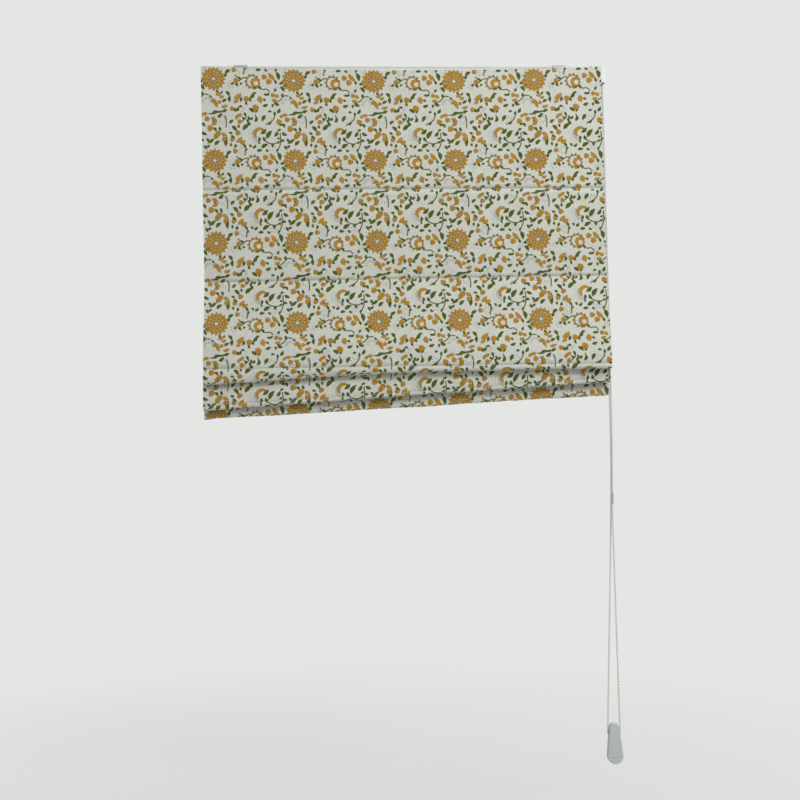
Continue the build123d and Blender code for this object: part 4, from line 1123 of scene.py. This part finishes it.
def pocket(line):
    """A sleeve round a rod: an outer tube whose radius ripples a little and a plain inner one, joined at both
    ends. All its faces have their front towards the inside of the wall."""
    sides, count = 12, 90
    path = rod_line(line, count)
    swell = 0.16 * ripple(path[:, 0], 0 * path[:, 0], 21, 30 + line)
    outer, faces = tube(path * MM, (POCKET_RADIUS + swell) * MM, sides)
    inner, _ = tube(path * MM, POCKET_BORE * MM, sides)
    around = np.arange(sides)
    after = (around + 1) % sides
    total = len(outer)
    far = (count - 1) * sides
    ends = np.vstack([
        np.stack([around, after, after + total, around + total], -1),
        np.stack([far + after, far + around, far + around + total, far + after + total], -1),
    ])
    length = np.repeat(path[:, 0] - path[0, 0], sides)
    girth = np.tile(np.arange(sides) * POCKET_GIRTH / sides, count)
    uv = np.stack([length, girth], -1) * MM
    all_faces = np.vstack([faces[:, ::-1], faces + total, ends])
    return new_mesh(f"rod_pocket_{line}", np.vstack([outer, inner]), all_faces, [lining],
                    uv=np.vstack([uv, uv]))


for line, body in ROD_BODIES.items():
    sleeve = pocket(line)
    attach(sleeve, body)
print("rod pockets:", len(ROD_BODIES))

# %% [markdown]
# The lift cords
#
# Three braided cords run from the drums in the rail down through rings to the lowest rod. A cord that
# shortens as the blind goes up, and pays out as it comes down, is drawn in three nested lengths: one from
# the rail, one that travels with rod 4 and one that travels with rod 6. What is on the drum is a helix of
# close turns.

# %% Lift cords
CORD_Y = -9.75
CORD_RADIUS = 0.7
WINDING_RADIUS = 9.75
WINDING_TURNS = 13
cord_finish = twisted_cord_finish("lift_cord_polyester", "#E9E8E2", "#C6C5BC")


def hanging_length(name, x, top, foot, radius, body):
    """A straight length of cord from its top to its foot, on the body that carries it."""
    path = np.stack([np.full(40, x), np.full(40, CORD_Y), np.linspace(top, foot, 40)], -1) * MM
    points, faces = with_caps(*tube(path, radius * MM, 8), 8)
    piece = new_mesh(name, points, faces, [cord_finish])
    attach(piece, body)
    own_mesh(piece)
    return piece


def winding(name, x):
    """The cord wound on its drum: a helix of close turns about the shaft."""
    turn = np.linspace(0.5 * np.pi, 2 * np.pi * WINDING_TURNS, WINDING_TURNS * 14)
    path = np.stack([
        x + turn / (2 * np.pi) * 2 * CORD_RADIUS,
        -WINDING_RADIUS * np.sin(turn),
        RAIL_AXIS / MM + WINDING_RADIUS * np.cos(turn),
    ], -1)
    points, faces = with_caps(*tube(path * MM, CORD_RADIUS * MM, 6), 6)
    piece = new_mesh(name, points, faces, [cord_finish])
    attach(piece, "headrail")
    return piece


for station, x in STATIONS.items():
    x_mm = x / MM
    share = (x_mm - STACK_LEFT) / (STACK_RIGHT - STACK_LEFT)
    ring_4 = line_z(4, 0) + share * LINE_RISE[4]
    knot = line_z(6, 0) + share * LINE_RISE[6] - 10
    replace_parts(winding(f"cord_winding_{station}", x_mm), f"lift_cord_{station}")
    hanging_length(f"cord_from_rail_{station}", x_mm, -21, knot, CORD_RADIUS, "headrail")
    hanging_length(f"cord_with_rod_4_{station}", x_mm, -30, ring_4, CORD_RADIUS * 0.94,
                   "middle_stack")
    hanging_length(f"cord_with_rod_6_{station}", x_mm, -30, knot, CORD_RADIUS * 0.88, "bottom_stack")
print("lift cords:", len(STATIONS), "in 3 lengths each, with", WINDING_TURNS, "turns on the drum")

# %% [markdown]
# Finishes of the hard parts
#
# The rail is powder-coated, the shaft and the bottom bar are mill aluminium, and the rest is moulded
# plastic or plated steel. Each finish is known by how it breaks up the light: powder coat by its orange
# peel, extrusions by fine lines along them, plastic by the grain of its mould.

# %% Moulded, coated and drawn finishes
def grained(name, colour, shade, grain, depth, stretch=(1, 1, 1), **shader_values):
    """A finish with a fine grain of a real size in mm. Noise on the object's own place, stretched along a
    direction for drawn metal, moves the colour between two tones and gives the bump and the gloss."""
    material, shader = new_material(name, {k.replace("_", " "): v for k, v in shader_values.items()})
    place = add_node(material, "ShaderNodeTexCoord")
    mapping = add_node(material, "ShaderNodeMapping", {"Scale": stretch}, {"Vector": (place, "Object")})
    fine = add_node(material, "ShaderNodeTexNoise", {"Scale": 1 / (grain * MM), "Detail": 3.0},
                    {"Vector": (mapping, "Vector")})
    broad = add_node(material, "ShaderNodeTexNoise", {"Scale": 14.0, "Detail": 3.0},
                     {"Vector": (place, "Object")})
    ramp = colour_ramp(material, broad, "Fac", [(0.3, shade), (0.7, colour)])
    material.node_tree.links.new(ramp.outputs["Color"], shader.inputs["Base Color"])
    gloss = add_node(material, "ShaderNodeMapRange", {
        "To Min": shader.inputs["Roughness"].default_value * 0.85,
        "To Max": min(1.0, shader.inputs["Roughness"].default_value * 1.2),
    }, {"Value": (broad, "Fac")})
    material.node_tree.links.new(gloss.outputs["Result"], shader.inputs["Roughness"])
    bump = add_node(material, "ShaderNodeBump", {"Strength": 0.4, "Distance": depth * MM},
                    {"Height": (fine, "Fac")})
    material.node_tree.links.new(bump.outputs["Normal"], shader.inputs["Normal"])
    return material


along_rail = (0.02, 1, 1)
finishes = {
    "headrail": grained("white_powder_coat", "#ECECE8", "#E6E6E1", 1.2, 0.15, Roughness=0.38),
    "zinc": grained("zinc_plate", "#B9BCBF", "#A6A9AD", 0.6, 0.05, Metallic=1.0, Roughness=0.34),
    "spring": grained("oiled_spring_steel", "#8C8F92", "#77797C", 0.5, 0.04, Metallic=1.0, Roughness=0.3),
    "aluminium": grained("mill_aluminium", "#C9CBCD", "#B9BBBE", 0.4, 0.05, along_rail, Metallic=1.0,
                         Roughness=0.36),
    "white_plastic": grained("white_abs", "#EFEFEC", "#E9E9E5", 0.7, 0.04, Roughness=0.34, IOR=1.52),
    # The weight is white satin ABS like the cover; its greyer colour is painted shade.
    "weight": grained("white_abs_weight_painted_shade", "#CBD3D1", "#C2CAC8", 0.7, 0.04, Roughness=0.42, IOR=1.52),
    "grey_plastic": grained("grey_acetal", "#C4C6C6", "#B8BABA", 0.6, 0.05, Roughness=0.42, IOR=1.48),
    "ring": grained("milky_nylon", "#E6E6DF", "#DAD9D0", 0.5, 0.04, Roughness=0.3, IOR=1.53),
    "tape": grained("hook_and_loop_tape", "#E6E5DE", "#CFCEC5", 0.45, 0.5, Roughness=0.95),
    "fibre": grained("glass_fibre_rod", "#E3DFC9", "#D2CEB4", 0.3, 0.06, along_rail, Roughness=0.45),
    "clear": grained("clear_polycarbonate", "#F2F5F5", "#E9EDED", 0.8, 0.02, Roughness=0.12, IOR=1.585,
                     Transmission_Weight=0.85),
}
finish_of = {
    "headrail": "headrail", "bracket": "zinc", "weight_screw": "zinc", "weight_slug": "spring",
    "clutch_spring": "spring", "drive_shaft": "aluminium", "bottom_bar": "aluminium",
    "rail_end_cap": "white_plastic",
    "control_cover": "white_plastic", "weight_front": "weight", "weight_back": "weight",
    "bar_cap": "white_plastic", "control_housing": "grey_plastic", "clutch_hub": "grey_plastic",
    "chain_wheel": "white_plastic", "shaft_end_bush": "grey_plastic", "cord_drum": "grey_plastic",
    "drum_cradle": "grey_plastic", "cord_ring": "ring", "cord_stop": "ring", "hook_strip": "tape",
    "loop_strip": "tape", "fold_rod": "fibre", "chain_connector": "clear",
}
for node_name, node in nodes.items():
    for start_of_name, finish in finish_of.items():
        if node_name.startswith(start_of_name):
            for material_slot in node.material_slots:
                material_slot.material = finishes[finish]
print("finishes", len(finishes))

# %% [markdown]
# The floor
#
# The floor is a pale disc that fades into the background, so that the blind can be seen from all sides. The
# glow that does this is only for the camera's own rays, so that it puts no light on the blind.

# %% Floor
FLOOR_HEIGHT = -1.72
FLOOR_RADIUS = 3.4
BACKDROP = "#E4E6E4"


def floor_finish():
    """Matt pale paint that turns into the backdrop's own light towards the rim."""
    material, shader = new_material("pale_floor", {"Roughness": 0.85})
    place = add_node(material, "ShaderNodeTexCoord")
    speckle = add_node(material, "ShaderNodeTexNoise", {"Scale": 3.0, "Detail": 2.0},
                       {"Vector": (place, "Object")})
    tone = colour_ramp(material, speckle, "Fac", [(0.3, "#D9DAD8"), (0.7, "#DFE0DE")])
    material.node_tree.links.new(tone.outputs["Color"], shader.inputs["Base Color"])
    reach = add_node(material, "ShaderNodeVectorMath", {"operation": "LENGTH"}, {"Vector": (place, "Object")})
    fade = add_node(material, "ShaderNodeMapRange", {"From Min": 0.3, "From Max": 2.0, "To Min": 0.62},
                    {"Value": (reach, "Value")})
    glow = add_node(material, "ShaderNodeEmission", {"Color": linear(BACKDROP), "Strength": 1.0})
    rays = add_node(material, "ShaderNodeLightPath")
    shown = add_node(material, "ShaderNodeMath", {"operation": "MULTIPLY"}, {"Value": (fade, "Result")})
    material.node_tree.links.new(rays.outputs["Is Camera Ray"], shown.inputs[1])
    mix = add_node(material, "ShaderNodeMixShader", {}, {"Fac": (shown, "Value")})
    material.node_tree.links.new(shader.outputs["BSDF"], mix.inputs[1])
    material.node_tree.links.new(glow.outputs["Emission"], mix.inputs[2])
    output = material.node_tree.nodes["Material Output"]
    material.node_tree.links.new(mix.outputs["Shader"], output.inputs["Surface"])
    return material


def floor_disc():
    """A disc of rings about the origin: x = r cos(a), y = r sin(a)."""
    radius = np.linspace(0.05, FLOOR_RADIUS, 14)[:, None]
    angle = np.linspace(0, 2 * np.pi, 64, endpoint=False)[None]
    points = np.stack([radius * np.cos(angle), radius * np.sin(angle), np.zeros((14, 64))], -1).reshape(-1, 3)
    faces = grid_faces(14, 64, closed=True)[:, ::-1].tolist() + [list(range(64))]
    return new_mesh("floor", points, faces, [floor_finish()])


floor_piece = floor_disc()
floor_piece.location.z = FLOOR_HEIGHT
print("floor at", FLOOR_HEIGHT, "m")

# %% [markdown]
# Light
#
# One broad lamp stands high to the right, as daylight does in the room, with a weaker one to the left and
# one behind. The world gives a plain fill, and shows its pale backdrop to the camera and in what is glossy
# or clear.

# %% Lamps and world

def lamp(name, place, target, size, power):
    """A square area lamp, turned to face a point."""
    data = bpy.data.lights.new(name, "AREA")
    data.size = size
    data.energy = power
    holder = bpy.data.objects.new(name, data)
    holder.location = place
    holder.rotation_euler = (Vector(target) - Vector(place)).to_track_quat("-Z", "Y").to_euler()
    bpy.context.collection.objects.link(holder)


lamp("window_light", (1.9, -2.2, 1.7), (0, 0, -0.6), 1.3, 84)
lamp("room_light", (-2.2, -2.2, 0.4), (0, 0, -0.6), 2.2, 11)
lamp("back_light", (0.6, 2.6, 1.2), (0, 0, -0.7), 2.2, 30)
world = bpy.data.worlds.new("studio")
bpy.context.scene.world = world
world.use_nodes = True
sky = world.node_tree.nodes["Background"]
sky.inputs["Color"].default_value = linear("#E8ECEC")
sky.inputs["Strength"].default_value = 0.33
seen = world.node_tree.nodes.new("ShaderNodeBackground")
seen.inputs["Color"].default_value = linear(BACKDROP)
rays = world.node_tree.nodes.new("ShaderNodeLightPath")
either = world.node_tree.nodes.new("ShaderNodeMath")
either.operation = "MAXIMUM"
through_glass = world.node_tree.nodes.new("ShaderNodeMath")
through_glass.operation = "MAXIMUM"
world_mix = world.node_tree.nodes.new("ShaderNodeMixShader")
join = world.node_tree.links.new
join(rays.outputs["Is Camera Ray"], either.inputs[0])
join(rays.outputs["Is Glossy Ray"], either.inputs[1])
join(either.outputs["Value"], through_glass.inputs[0])
join(rays.outputs["Is Transmission Ray"], through_glass.inputs[1])
join(through_glass.outputs["Value"], world_mix.inputs["Fac"])
join(sky.outputs["Background"], world_mix.inputs[1])
join(seen.outputs["Background"], world_mix.inputs[2])
join(world_mix.outputs["Shader"], world.node_tree.nodes["World Output"].inputs["Surface"])
print("lamps:", len(bpy.data.lights))
